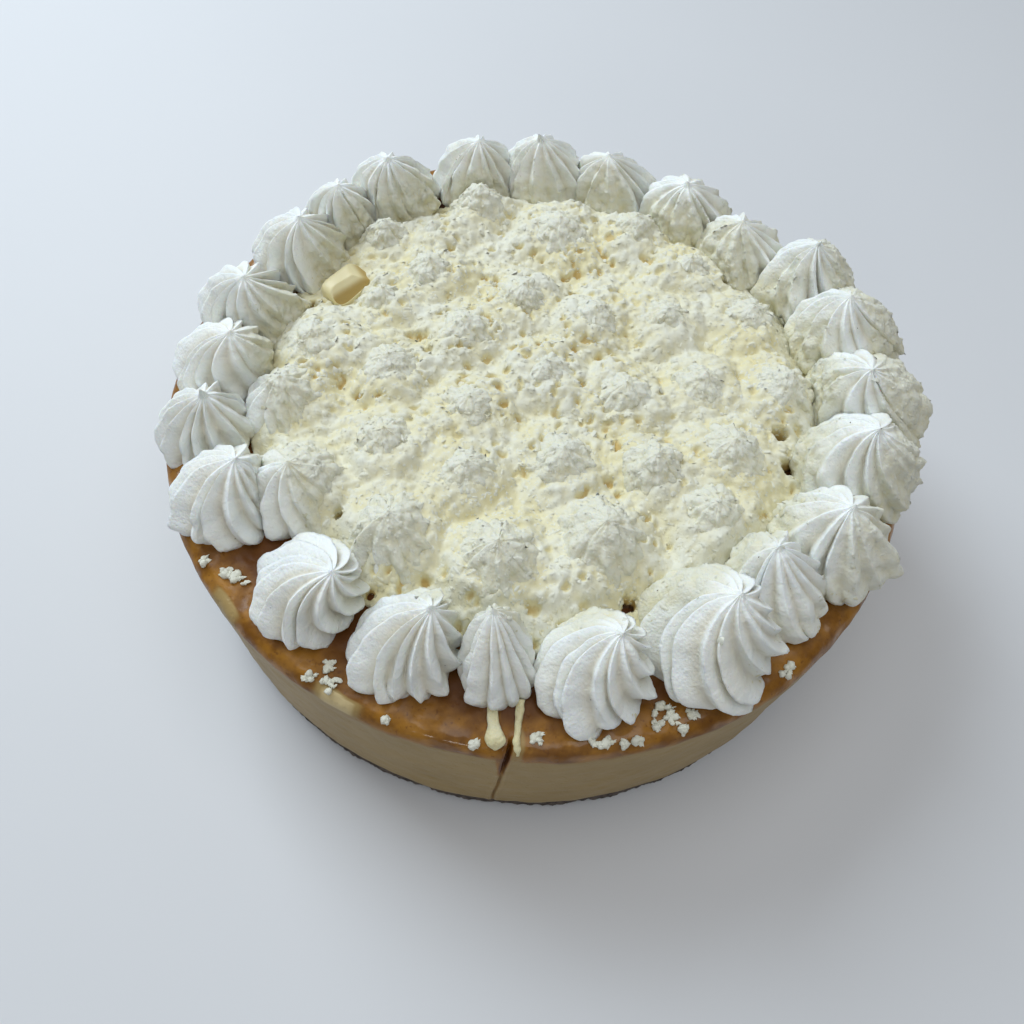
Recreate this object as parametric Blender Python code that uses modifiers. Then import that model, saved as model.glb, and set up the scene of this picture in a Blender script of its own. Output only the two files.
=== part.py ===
"""Baked cheesecake with piped cream swirls and grated white chocolate.

A dark biscuit base carries a tall pale filling with a browned, rounded top edge and one knife cut at
the front. A ring of star-piped cream swirls stands along the rim, smaller swirls fill the middle, and
a heap of grated chocolate lies between them.

Lengths are in metres and +Z is up. The origin is the middle of the underside of the biscuit base.
The front, with the knife cut, faces -Y, and clock angles are counted from +X towards +Y.
"""

import math
from collections import namedtuple

import bmesh
import bpy
import numpy as np

MM = 0.001

# Cake body
CAKE_RADIUS = 115.0 * MM
CAKE_HEIGHT = 66.0 * MM
BASE_THICKNESS = 9.0 * MM
BASE_INSET = 0.8 * MM
EDGE_ROUNDING = 4.5 * MM
BODY_SEGMENTS = 64
GAP = 0.3 * MM

# Knife cut at the front, a wedge that is wider at the top edge
CUT_ANGLE = math.radians(-91.0)
CUT_INNER_RADIUS = 99.0 * MM
CUT_WIDTH_TOP = 3.0 * MM
CUT_WIDTH_BOTTOM = 1.0 * MM

# Piped swirls: clock angle in degrees, distance of the foot from the middle, foot width and height, how
# far the tip is drawn towards the middle of the cake, and how far it drifts counter-clockwise, all in mm
Swirl = namedtuple("Swirl", "angle distance width height lean drift", defaults=(0, 0))

RIM_SWIRLS = (
    Swirl(-93, 95, 22, 23, 8, -3),
    Swirl(-108, 96, 32, 23, 6, 6),
    Swirl(-127, 96, 33, 22, 4, 10),
    Swirl(-149, 100, 34, 21, 7, 1),
    Swirl(-164, 101, 30, 21, 4, 2),
    Swirl(-178, 98, 34, 22, 7, 3),
    Swirl(168, 97, 37, 24, 5, 5),
    Swirl(150, 97, 36, 23, 6, 3),
    Swirl(138, 98, 30, 23, 5, 3),
    Swirl(126, 97, 37, 26, 6, 3),
    Swirl(107, 97, 34, 24, 5, 0),
    Swirl(92, 96, 35, 24, 4, 2),
    Swirl(76, 96, 35, 22, 6, 3),
    Swirl(59, 95, 38, 22, 6, 0),
    Swirl(43, 93, 37, 21, 5, 1),
    Swirl(29, 101, 36, 27, 3, 0),
    Swirl(15, 102, 40, 26, 6, 0),
    Swirl(1, 103, 41, 27, 8, -5),
    Swirl(-15, 98, 39, 28, 2, -2),
    Swirl(-31, 99, 37, 25, 2, -1),
    Swirl(-45, 95, 32, 23, 6, 0),
    Swirl(-59, 95, 40, 26, 1, 3),
    Swirl(-79, 95, 33, 22, 3, 6),
)

INNER_SWIRLS = (
    Swirl(-144, 81, 33, 21),
    Swirl(-167, 77, 30, 19),
    Swirl(178, 70, 30, 18),
    Swirl(154, 58, 20, 15),
    Swirl(136, 77, 22, 17),
    Swirl(125, 70, 21, 15),
    Swirl(135, 54, 26, 17),
    Swirl(109, 77, 25, 19),
    Swirl(87, 63, 34, 17),
    Swirl(66, 72, 26, 18),
    Swirl(46, 69, 25, 16),
    Swirl(23, 72, 28, 17),
    Swirl(0, 74, 29, 18),
    Swirl(-24, 62, 29, 18),
    Swirl(-43, 69, 28, 19),
    Swirl(-71, 61, 33, 22),
    Swirl(-97, 66, 32, 21),
    Swirl(-122, 70, 31, 20),
    Swirl(-144, 53, 28, 18),
    Swirl(-176, 46, 28, 17),
    Swirl(150, 28, 27, 17),
    Swirl(103, 31, 26, 17),
    Swirl(55, 28, 26, 17),
    Swirl(32, 46, 26, 17),
    Swirl(-1, 50, 26, 17),
    Swirl(-45, 48, 26, 21),
    Swirl(-76, 34, 29, 18),
    Swirl(-115, 44, 27, 18),
    Swirl(-140, 26, 28, 17),
    Swirl(-27, 2, 27, 17),
    Swirl(-15, 27, 28, 17),
)

# Ridges of the star nozzle and the levels, as shares of the height, where a swirl has a ring of points
RIM_RIDGES = 9
RIM_LEVELS = (0.0, 0.16, 0.42, 0.68, 0.88)
INNER_RIDGES = 7
INNER_LEVELS = (0.0, 0.35, 0.7)
GROOVE_DEPTH = 0.17
RIDGE_SHARPNESS = math.radians(30.0)
SWIRL_TWIST = math.radians(50.0)
DOME_ROUNDNESS = 0.68
FOOT_TUCK = 0.10
FOOT_TUCK_LEVEL = 0.07
LEAN_CURVE = 1.5

# Half the space that neighbouring swirls leave between them where they press together
RIM_CLEARANCE = 0.15 * MM
INNER_CLEARANCE = 1.4 * MM
NEIGHBOUR_REACH = 0.6
LEAST_FACING = 0.05
LEAST_RADIUS = 0.5 * MM

# Grated chocolate between the swirls
HEAP_RADIUS = 89.0 * MM
HEAP_HEIGHT = 7.5 * MM
HEAP_EDGE_HEIGHT = 2.0 * MM
HEAP_EDGE_WIDTH = 13.0 * MM
HEAP_UNEVENNESS = 2.2 * MM
HEAP_WAVES = (95.0, 80.0)
HEAP_BUMPS = (230.0, 210.0)
HEAP_RINGS = 7
HEAP_COLUMNS = 36
HEAP_MARGIN = 0.7 * MM
SHRED_COUNT = 40
SHRED_TURN = math.radians(137.5)
SHRED_SPREAD = 0.93 * HEAP_RADIUS
SHRED_TILT = 0.5
SHRED_SIZE = (6.5 * MM, 2.0 * MM, 1.3 * MM)

# Loose flakes on the browned edge: clock angle in degrees, distance from the middle and length, in mm
CRUST_FLAKES = (
    (-142, 111, 6), (-138, 109, 5), (-135, 106, 4), (-118, 112, 6), (-115, 111, 4), (-86, 111, 5),
    (-80, 112, 6), (-74, 113, 5), (-71, 110, 5), (-68, 112, 4), (-51, 112, 5), (-25, 112, 4),
)
FLAKE_WIDTH = 3.0 * MM
FLAKE_THICKNESS = 1.4 * MM
FLAKE_TILT = 0.15
FLAKE_PINCH = 0.55

# Drips of cream beside the cut: clock angle in degrees, distance from the middle, width and length, mm
CREAM_DRIPS = ((-93.0, 111.5, 3.8, 5.0), (-89.6, 110.8, 2.6, 6.5))
DRIP_THICKNESS = 2.6 * MM

# Pale chunk of white chocolate that lies between the swirls at the left
CHUNK_ANGLE = math.radians(154.0)
CHUNK_DISTANCE = 73.0 * MM
CHUNK_TURN = math.radians(55.0)
CHUNK_SIZE = (16.0 * MM, 9.0 * MM, 9.0 * MM)
CHUNK_MARGIN = 0.4 * MM

TOP_OF_FILLING = CAKE_HEIGHT + GAP


def clear_scene():
    for thing in list(bpy.data.objects):
        bpy.data.objects.remove(thing, do_unlink=True)


def new_collection(name):
    collection = bpy.data.collections.new(name)
    bpy.context.scene.collection.children.link(collection)
    return collection


def make_material(name, colour, roughness):
    material = bpy.data.materials.new(name)
    material.use_nodes = True
    shader = material.node_tree.nodes["Principled BSDF"]
    shader.inputs["Base Color"].default_value = (*colour, 1.0)
    shader.inputs["Roughness"].default_value = roughness
    shader.inputs["Metallic"].default_value = 0.0
    material.diffuse_color = (*colour, 1.0)
    return material


def polar(angle, distance, z=0.0):
    return np.array([distance * math.cos(angle), distance * math.sin(angle), z])


def object_from_bmesh(name, shape, collection, material=None, smooth_angle=math.radians(40.0)):
    bmesh.ops.recalc_face_normals(shape, faces=shape.faces)
    mesh = bpy.data.meshes.new(name)
    shape.to_mesh(mesh)
    shape.free()
    mesh.shade_smooth()
    mesh.set_sharp_from_angle(angle=smooth_angle)
    thing = bpy.data.objects.new(name, mesh)
    if material:
        mesh.materials.append(material)
    collection.objects.link(thing)
    return thing


def turned_body(name, profile, collection, material):
    """A profile of (radius, height) points, top to bottom, turned once round Z."""
    mesh = bpy.data.meshes.new(name)
    points = [(radius, 0.0, z) for radius, z in profile]
    mesh.from_pydata(points, [(i, i + 1) for i in range(len(points) - 1)], [])
    thing = bpy.data.objects.new(name, mesh)
    collection.objects.link(thing)
    screw = thing.modifiers.new("turn", "SCREW")
    screw.steps = BODY_SEGMENTS
    screw.render_steps = BODY_SEGMENTS
    screw.use_merge_vertices = True
    screw.merge_threshold = 0.01 * MM
    screw.use_smooth_shade = True
    settle(thing)
    thing.data.materials.append(material)
    thing.data.set_sharp_from_angle(angle=math.radians(40.0))
    return thing


def settle(thing):
    """Replaces the object's mesh by what its modifiers make of it."""
    bpy.context.view_layer.update()
    graph = bpy.context.evaluated_depsgraph_get()
    mesh = bpy.data.meshes.new_from_object(thing.evaluated_get(graph))
    thing.modifiers.clear()
    thing.data = mesh


def keep_main_body(thing):
    """Drops loose scraps: only the connected piece with the most faces stays."""
    shape = bmesh.new()
    shape.from_mesh(thing.data)
    waiting = set(shape.faces)
    bodies = []
    while waiting:
        first = waiting.pop()
        body = {first}
        front = [first]
        while front:
            face = front.pop()
            for edge in face.edges:
                for other in edge.link_faces:
                    if other in waiting:
                        waiting.discard(other)
                        body.add(other)
                        front.append(other)
        bodies.append(body)
    bodies.sort(key=len, reverse=True)
    scraps = [face for body in bodies[1:] for face in body]
    bmesh.ops.delete(shape, geom=scraps, context="FACES")
    shape.to_mesh(thing.data)
    shape.free()


def combine(thing, operation, pieces, solver="MANIFOLD"):
    """One Boolean with a whole collection, applied, after which the collection's objects go."""
    boolean = thing.modifiers.new("combine", "BOOLEAN")
    boolean.operation = operation
    boolean.operand_type = "COLLECTION"
    boolean.collection = pieces
    boolean.solver = solver
    settle(thing)
    for piece in list(pieces.objects):
        bpy.data.objects.remove(piece, do_unlink=True)
    bpy.data.collections.remove(pieces)
    keep_main_body(thing)
    thing.data.shade_smooth()
    thing.data.set_sharp_from_angle(angle=math.radians(40.0))


def closed_rings(name, rings, tip, collection, material=None, smooth_angle=math.radians(70.0)):
    """A closed body from rings of points, low to high, with a flat bottom and a pointed top."""
    shape = bmesh.new()
    rows = [[shape.verts.new(point) for point in ring] for ring in rings]
    columns = len(rows[0])
    for low, high in zip(rows, rows[1:]):
        for i in range(columns):
            j = (i + 1) % columns
            shape.faces.new((low[i], low[j], high[j], high[i]))
    peak = shape.verts.new(tip)
    for i in range(columns):
        shape.faces.new((rows[-1][i], rows[-1][(i + 1) % columns], peak))
    shape.faces.new(list(reversed(rows[0])))
    return object_from_bmesh(name, shape, collection, material, smooth_angle)


def swirl_foot(swirl):
    return polar(math.radians(swirl.angle), swirl.distance * MM)


def swirl_centre(swirl, level):
    """Middle of the ring at a level from 0 to 1, which leans towards the tip more and more."""
    share = MM * level**LEAN_CURVE
    height = TOP_OF_FILLING + swirl.height * MM * level
    inward = polar(math.radians(swirl.angle), -swirl.lean * share, height)
    return swirl_foot(swirl) + inward + polar(math.radians(swirl.angle + 90.0), swirl.drift * share)


def swirl_radius(swirl, level):
    """A dome, (1 - level squared) to the power of its roundness, a little tucked in at the foot."""
    tuck = 1.0 - FOOT_TUCK * math.exp(-((level / FOOT_TUCK_LEVEL) ** 2))
    return 0.5 * swirl.width * MM * tuck * (1.0 - level * level) ** DOME_ROUNDNESS


def contact_planes(swirl, others, clearance):
    """Planes half-way to each neighbour, shared out by width: (point, unit direction) pairs."""
    foot = swirl_foot(swirl)
    planes = []
    for other in others:
        way = swirl_foot(other) - foot
        distance = float(np.linalg.norm(way))
        if other is swirl or distance > NEIGHBOUR_REACH * (swirl.width + other.width) * MM:
            continue
        share = distance * swirl.width / (swirl.width + other.width)
        way /= distance
        planes.append((foot + way * (share - clearance), way))
    return planes


def crest_radii(swirl, level, ways, planes, grow):
    """Reach of the swirl at a level along each way, held back by the planes to its neighbours."""
    centre = swirl_centre(swirl, level)
    radii = np.full(len(ways), swirl_radius(swirl, level) + grow)
    for point, way in planes:
        facing = ways @ way
        room = float((point - centre) @ way) + grow
        limit = np.where(facing > LEAST_FACING, room / np.maximum(facing, LEAST_FACING), np.inf)
        radii = np.minimum(radii, np.maximum(limit, LEAST_RADIUS))
    return radii


def flat_ways(angles):
    return np.stack([np.cos(angles), np.sin(angles), np.zeros(len(angles))], axis=1)


def crest_rings(swirl, levels, ridges, planes, twist, phase, grow=0.0):
    """Rings through the crests alone, each turned a little further than the one below."""
    rings = []
    turn = np.arange(ridges) * (2.0 * math.pi / ridges)
    for level in levels:
        ways = flat_ways(phase + turn - twist * level)
        radii = crest_radii(swirl, level, ways, planes, grow)
        rings.append(swirl_centre(swirl, level) + ways * radii[:, None])
    return rings


def make_swirl(name, swirl, ridges, levels, planes, twist, phase, collection, material):
    """A star swirl: between each two crests a groove lies inside the straight line that joins them."""
    rings = []
    for level, crests in zip(levels, crest_rings(swirl, levels, ridges, planes, twist, phase)):
        middles = 0.5 * (crests + np.roll(crests, -1, axis=0))
        centre = swirl_centre(swirl, level)
        grooves = centre + (middles - centre) * (1.0 - GROOVE_DEPTH)
        rings.append(np.stack([crests, grooves], axis=1).reshape(-1, 3))
    return closed_rings(name, rings, swirl_centre(swirl, 1.0), collection, material, RIDGE_SHARPNESS)


def make_heap_cutter(name, swirl, ridges, levels, planes, twist, phase, collection):
    """The hull of the swirl's crests, a little larger, which the heap keeps clear of."""
    rings = crest_rings(swirl, levels, ridges, planes, twist, phase, HEAP_MARGIN)
    for point in rings[0]:
        point[2] -= 1.5 * MM
    cutter = closed_rings(name, rings, swirl_centre(swirl, 1.06), collection)
    cutter.hide_render = True
    cutter.display_type = "WIRE"
    return cutter


def make_base(collection, material):
    radius = CAKE_RADIUS - BASE_INSET
    profile = (
        (0.0, BASE_THICKNESS - GAP),
        (radius - 0.5 * MM, BASE_THICKNESS - GAP),
        (radius, BASE_THICKNESS - 1.2 * MM),
        (radius + 0.4 * MM, 0.45 * BASE_THICKNESS),
        (radius - 0.3 * MM, 0.8 * MM),
        (radius - 1.2 * MM, 0.0),
        (0.0, 0.0),
    )
    return turned_body("biscuit_base", profile, collection, material)


def make_filling(collection, material):
    steps = 4
    profile = [(0.0, CAKE_HEIGHT)]
    for i in range(steps + 1):
        angle = 0.5 * math.pi * i / steps
        radius = CAKE_RADIUS - EDGE_ROUNDING * (1.0 - math.sin(angle))
        z = CAKE_HEIGHT - EDGE_ROUNDING * (1.0 - math.cos(angle))
        profile.append((radius, z))
    profile.append((CAKE_RADIUS, BASE_THICKNESS + 0.6 * MM))
    profile.append((CAKE_RADIUS - 0.6 * MM, BASE_THICKNESS))
    profile.append((0.0, BASE_THICKNESS))
    return turned_body("cheese_filling", profile, collection, material)


def make_flake(name, centre, size, turn, tilt, collection):
    """A thin shaving: a flat box with one end pinched."""
    shape = bmesh.new()
    bmesh.ops.create_cube(shape, size=1.0)
    for vertex in shape.verts:
        pinch = FLAKE_PINCH if vertex.co.x > 0.0 else 1.0
        vertex.co.x *= size[0]
        vertex.co.y *= size[1] * pinch
        vertex.co.z *= size[2]
    flake = object_from_bmesh(name, shape, collection)
    flake.location = centre
    flake.rotation_euler = (tilt, 0.5 * tilt, turn)
    return flake


def make_drip(name, angle, distance, width, length, collection):
    shape = bmesh.new()
    bmesh.ops.create_uvsphere(shape, u_segments=10, v_segments=6, radius=0.5)
    for vertex in shape.verts:
        vertex.co.x *= length
        vertex.co.y *= width * (1.0 + 0.35 * vertex.co.x / length)
        vertex.co.z *= 2.0 * DRIP_THICKNESS
    drip = object_from_bmesh(name, shape, collection)
    drip.location = polar(angle, distance, CAKE_HEIGHT - 0.4 * MM)
    drip.rotation_euler = (0.0, 0.0, angle)
    return drip


def clear_of_swirls(point, reach):
    """True where nothing within reach of the point, seen from above, lies in a swirl's foot."""
    for swirl in RIM_SWIRLS:
        way = swirl_foot(swirl) - point
        if math.hypot(way[0], way[1]) < 0.5 * swirl.width * MM + reach:
            return False
    return True


def dress_filling(filling, rng):
    """Fuses the loose flakes and the cream drips to the browned top."""
    scraps = new_collection("flakes_on_filling")
    for number, (angle, distance, length) in enumerate(CRUST_FLAKES):
        centre = polar(math.radians(angle), distance * MM, CAKE_HEIGHT + 0.3 * FLAKE_THICKNESS)
        if not clear_of_swirls(centre, 0.5 * length * MM):
            continue
        size = (length * MM, FLAKE_WIDTH, FLAKE_THICKNESS)
        turn = rng.uniform(0.0, math.pi)
        make_flake(f"flake_{number}", centre, size, turn, rng.uniform(-FLAKE_TILT, FLAKE_TILT), scraps)
    for number, (angle, distance, width, length) in enumerate(CREAM_DRIPS):
        make_drip(f"drip_{number}", math.radians(angle), distance * MM, width * MM, length * MM, scraps)
    combine(filling, "UNION", scraps)


def cut_filling(filling, cutters):
    """The knife's wedge, open at the side and at the top."""
    shape = bmesh.new()
    bmesh.ops.create_cube(shape, size=1.0)
    reach = CAKE_RADIUS + 5.0 * MM - CUT_INNER_RADIUS
    for vertex in shape.verts:
        width = CUT_WIDTH_TOP if vertex.co.z > 0.0 else CUT_WIDTH_BOTTOM
        if vertex.co.x < 0.0:
            width *= 0.3
        vertex.co.x = CUT_INNER_RADIUS + (vertex.co.x + 0.5) * reach
        vertex.co.y *= width
        vertex.co.z = 0.5 * BASE_THICKNESS if vertex.co.z < 0.0 else CAKE_HEIGHT + 8.0 * MM
    cutter = object_from_bmesh("knife_cut", shape, cutters)
    cutter.rotation_euler = (0.0, 0.0, CUT_ANGLE)
    cutter.hide_render = True
    cutter.display_type = "WIRE"
    boolean = filling.modifiers.new("knife_cut", "BOOLEAN")
    boolean.operation = "DIFFERENCE"
    boolean.object = cutter
    boolean.solver = "EXACT"


def chunk_shape(name, margin, collection, material=None):
    """An uneven lump: a sphere of few faces, squared off and flattened, with one broken slope."""
    shape = bmesh.new()
    bmesh.ops.create_uvsphere(shape, u_segments=10, v_segments=7, radius=1.0)
    half = [0.5 * side + margin for side in CHUNK_SIZE]
    for vertex in shape.verts:
        x, y, z = vertex.co
        boxy = (abs(x) ** 3 + abs(y) ** 3 + abs(z) ** 3) ** (1.0 / 3.0)
        x, y, z = x / boxy, y / boxy, z / boxy
        z = min(z, 0.75 - 0.45 * y)
        vertex.co = (x * half[0], y * half[1], z * half[2])
    chunk = object_from_bmesh(name, shape, collection, material)
    chunk.location = polar(CHUNK_ANGLE, CHUNK_DISTANCE, TOP_OF_FILLING + 0.5 * CHUNK_SIZE[2])
    chunk.rotation_euler = (0.0, 0.0, CHUNK_TURN)
    return chunk


def heap_height(x, y):
    """Top of the grated heap: long waves and short bumps, thinning out towards its edge."""
    waves = np.sin(HEAP_WAVES[0] * x + 1.3) * np.cos(HEAP_WAVES[1] * y - 0.4)
    bumps = np.sin(HEAP_BUMPS[0] * x + 2.0) * np.sin(HEAP_BUMPS[1] * y + 0.7)
    full = HEAP_HEIGHT + HEAP_UNEVENNESS * (0.5 * waves + 0.5 * bumps)
    inside = np.clip((HEAP_RADIUS - np.hypot(x, y)) / HEAP_EDGE_WIDTH, 0.0, 1.0)
    return HEAP_EDGE_HEIGHT + (full - HEAP_EDGE_HEIGHT) * inside


def make_heap(collection, material, rng):
    """The grated heap: an uneven round bed with the shavings that stand out of it."""
    turn = np.arange(HEAP_COLUMNS) * (2.0 * math.pi / HEAP_COLUMNS)
    edge = HEAP_RADIUS * (1.0 + 0.02 * np.sin(5.0 * turn) + 0.015 * np.sin(11.0 * turn + 1.0))
    rings = [np.stack([edge * np.cos(turn), edge * np.sin(turn), np.full_like(turn, TOP_OF_FILLING)], 1)]
    for share in np.linspace(0.985, 0.12, HEAP_RINGS):
        x = share * edge * np.cos(turn)
        y = share * edge * np.sin(turn)
        rings.append(np.stack([x, y, TOP_OF_FILLING + heap_height(x, y)], 1))
    tip = (0.0, 0.0, TOP_OF_FILLING + float(heap_height(0.0, 0.0)))
    heap = closed_rings("grated_chocolate", rings, tip, collection, material)
    shavings = new_collection("shavings")
    for number in range(SHRED_COUNT):
        distance = SHRED_SPREAD * math.sqrt((number + 0.5) / SHRED_COUNT)
        centre = polar(SHRED_TURN * number, distance)
        centre[2] = TOP_OF_FILLING + float(heap_height(centre[0], centre[1])) + 0.2 * SHRED_SIZE[2]
        lie = rng.uniform(0.0, math.pi)
        tilt = rng.uniform(-SHRED_TILT, SHRED_TILT)
        make_flake(f"shred_{number}", centre, SHRED_SIZE, lie, tilt, shavings)
    combine(heap, "UNION", shavings)
    return heap


def make_cake():
    clear_scene()
    rng = np.random.default_rng(7)
    cake = new_collection("cheesecake")
    cutters = new_collection("cutters")

    biscuit = make_material("dark_biscuit", (0.060, 0.040, 0.030), 0.9)
    baked = make_material("baked_cheese", (0.62, 0.47, 0.24), 0.5)
    whipped = make_material("whipped_cream", (0.88, 0.87, 0.80), 0.6)
    grated = make_material("grated_chocolate", (0.86, 0.80, 0.58), 0.7)
    pale = make_material("pale_chocolate", (0.80, 0.72, 0.45), 0.45)

    make_base(cake, biscuit)
    filling = make_filling(cake, baked)
    dress_filling(filling, rng)
    cut_filling(filling, cutters)

    swirls = RIM_SWIRLS + INNER_SWIRLS
    heap_cutters = new_collection("heap_cutters")
    for number, swirl in enumerate(swirls):
        rim = number < len(RIM_SWIRLS)
        planes = contact_planes(swirl, swirls, RIM_CLEARANCE if rim else INNER_CLEARANCE)
        twist = SWIRL_TWIST * rng.uniform(0.6, 1.1)
        phase = rng.uniform(0.0, 2.0 * math.pi)
        if rim:
            name = f"rim_swirl_{number + 1:02d}"
            ridges, levels = RIM_RIDGES, RIM_LEVELS
        else:
            name = f"inner_swirl_{number - len(RIM_SWIRLS) + 1:02d}"
            ridges, levels = INNER_RIDGES, INNER_LEVELS
        make_swirl(name, swirl, ridges, levels, planes, twist, phase, cake, whipped)
        make_heap_cutter(f"{name}_room", swirl, ridges, levels, planes, twist, phase, heap_cutters)

    chunk_shape("white_chocolate_chunk", 0.0, cake, pale)
    chunk_shape("chunk_room", CHUNK_MARGIN, heap_cutters)
    heap = make_heap(cake, grated, rng)
    combine(heap, "DIFFERENCE", heap_cutters)


make_cake()
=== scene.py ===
"""Looks of a baked cheesecake with piped cream swirls and grated white chocolate.

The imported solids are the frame. Each class below builds one part of the cake as dense meshes that stand
for the plain solids, and dresses them: the biscuit base, the baked filling with its browned edge and
knife cut, the piped swirls, the grated chocolate and the pale chunk. Shapes are worked out in
millimetres in the frame's own axes (+Z up, the knife cut faces -Y) and put into meshes in metres.
"""

import itertools
import logging
import math
from collections.abc import Callable
from dataclasses import dataclass, field
from enum import Enum

import bpy
import numpy as np
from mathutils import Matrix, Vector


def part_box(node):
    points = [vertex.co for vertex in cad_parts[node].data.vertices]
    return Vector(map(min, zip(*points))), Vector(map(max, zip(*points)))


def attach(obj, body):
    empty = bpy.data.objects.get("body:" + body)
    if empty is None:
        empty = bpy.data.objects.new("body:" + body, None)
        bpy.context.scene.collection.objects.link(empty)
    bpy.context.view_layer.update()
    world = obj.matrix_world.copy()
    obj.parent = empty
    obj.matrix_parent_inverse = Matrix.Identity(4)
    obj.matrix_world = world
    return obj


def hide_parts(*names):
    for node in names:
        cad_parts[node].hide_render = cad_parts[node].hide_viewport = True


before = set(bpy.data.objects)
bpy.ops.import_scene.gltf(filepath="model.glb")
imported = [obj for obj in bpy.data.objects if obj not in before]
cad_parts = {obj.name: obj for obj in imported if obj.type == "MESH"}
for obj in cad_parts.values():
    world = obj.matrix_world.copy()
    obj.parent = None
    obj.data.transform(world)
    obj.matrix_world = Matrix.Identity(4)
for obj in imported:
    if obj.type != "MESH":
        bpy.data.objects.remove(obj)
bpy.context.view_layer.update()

MM = 0.001
LOG = logging.getLogger("cheesecake")


class Slot(Enum):
    """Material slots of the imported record."""

    BISCUIT = "biscuit"
    FILLING = "baked_filling"
    CREAM = "cream"
    GRATED = "grated"
    CHUNK = "chunk"


# Numbers and noise


def smooth_step(low: float, high: float, value: np.ndarray) -> np.ndarray:
    """Rises from 0 at low to 1 at high along 3 t squared minus 2 t cubed.

    Args:
        low: where the rise starts.
        high: where it ends.
        value: the numbers to read.

    Returns:
        The share for each number, from 0 to 1.
    """
    share = np.clip((value - low) / (high - low), 0.0, 1.0)
    return share * share * (3.0 - 2.0 * share)


def hashed(cells: np.ndarray, seed: int) -> np.ndarray:
    """A fixed random number for each whole-numbered cell, by mixing the bits of its coordinates.

    Args:
        cells: whole numbers, with the three coordinates in the last axis.
        seed: picks another set of numbers.

    Returns:
        Numbers from 0 to 1, one for each cell.
    """
    whole = cells.astype(np.int64)
    mixed = whole[..., 0] * 73856093 ^ whole[..., 1] * 19349663 ^ whole[..., 2] * 83492791 ^ seed * 40503
    mixed = (mixed ^ (mixed >> 13)) * 1274126177 & 0xFFFFFFFF
    mixed = (mixed ^ (mixed >> 15)) * 668265263 & 0xFFFFFFFF
    return ((mixed >> 8) & 0xFFFF) / 65535.0


def soft_noise(points: np.ndarray, size: float, seed: int) -> np.ndarray:
    """Smooth noise: random numbers on a lattice, blended between its eight nearest corners.

    Args:
        points: places in mm.
        size: the lattice's step in mm.
        seed: picks another pattern.

    Returns:
        Numbers from -1 to 1.
    """
    place = points / size
    low = np.floor(place)
    share = place - low
    share = share * share * (3.0 - 2.0 * share)
    total = np.zeros(points.shape[:-1])
    for corner in itertools.product((0, 1), repeat=3):
        weight = np.prod(np.where(np.array(corner) > 0, share, 1.0 - share), axis=-1)
        total += weight * hashed(low + corner, seed)
    return 2.0 * total - 1.0


def crumb_noise(points: np.ndarray, size: float, seed: int) -> np.ndarray:
    """Round crumbs: one minus the distance to the nearest of one random seat in each lattice cell.

    Args:
        points: places in mm.
        size: the lattice's step in mm, about one crumb.
        seed: picks another pattern.

    Returns:
        Numbers from 0 between crumbs to 1 in the middle of one.
    """
    place = points / size
    low = np.floor(place)
    nearest = np.full(points.shape[:-1], 9.0)
    for corner in itertools.product((-1, 0, 1), repeat=3):
        cell = low + corner
        seat = np.stack([hashed(cell, seed + axis) for axis in range(3)], axis=-1)
        nearest = np.minimum(nearest, np.sum((cell + seat - place) ** 2, axis=-1))
    return 1.0 - np.clip(np.sqrt(nearest), 0.0, 1.0)


def layered(noise: Callable, points: np.ndarray, layers: tuple) -> np.ndarray:
    """Adds up one kind of noise in several sizes.

    Args:
        noise: soft_noise or crumb_noise.
        points: places in mm.
        layers: height in mm, size in mm and pattern of each layer.

    Returns:
        The total height for each place.
    """
    return sum(height * noise(points, size, seed) for height, size, seed in layers)


def polar(angle: float, distance: float, height: float = 0.0) -> np.ndarray:
    """The point in mm at a clock angle in degrees, a distance from the middle and a height."""
    turn = math.radians(angle)
    return np.array([distance * math.cos(turn), distance * math.sin(turn), height])


# Meshes


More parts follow.
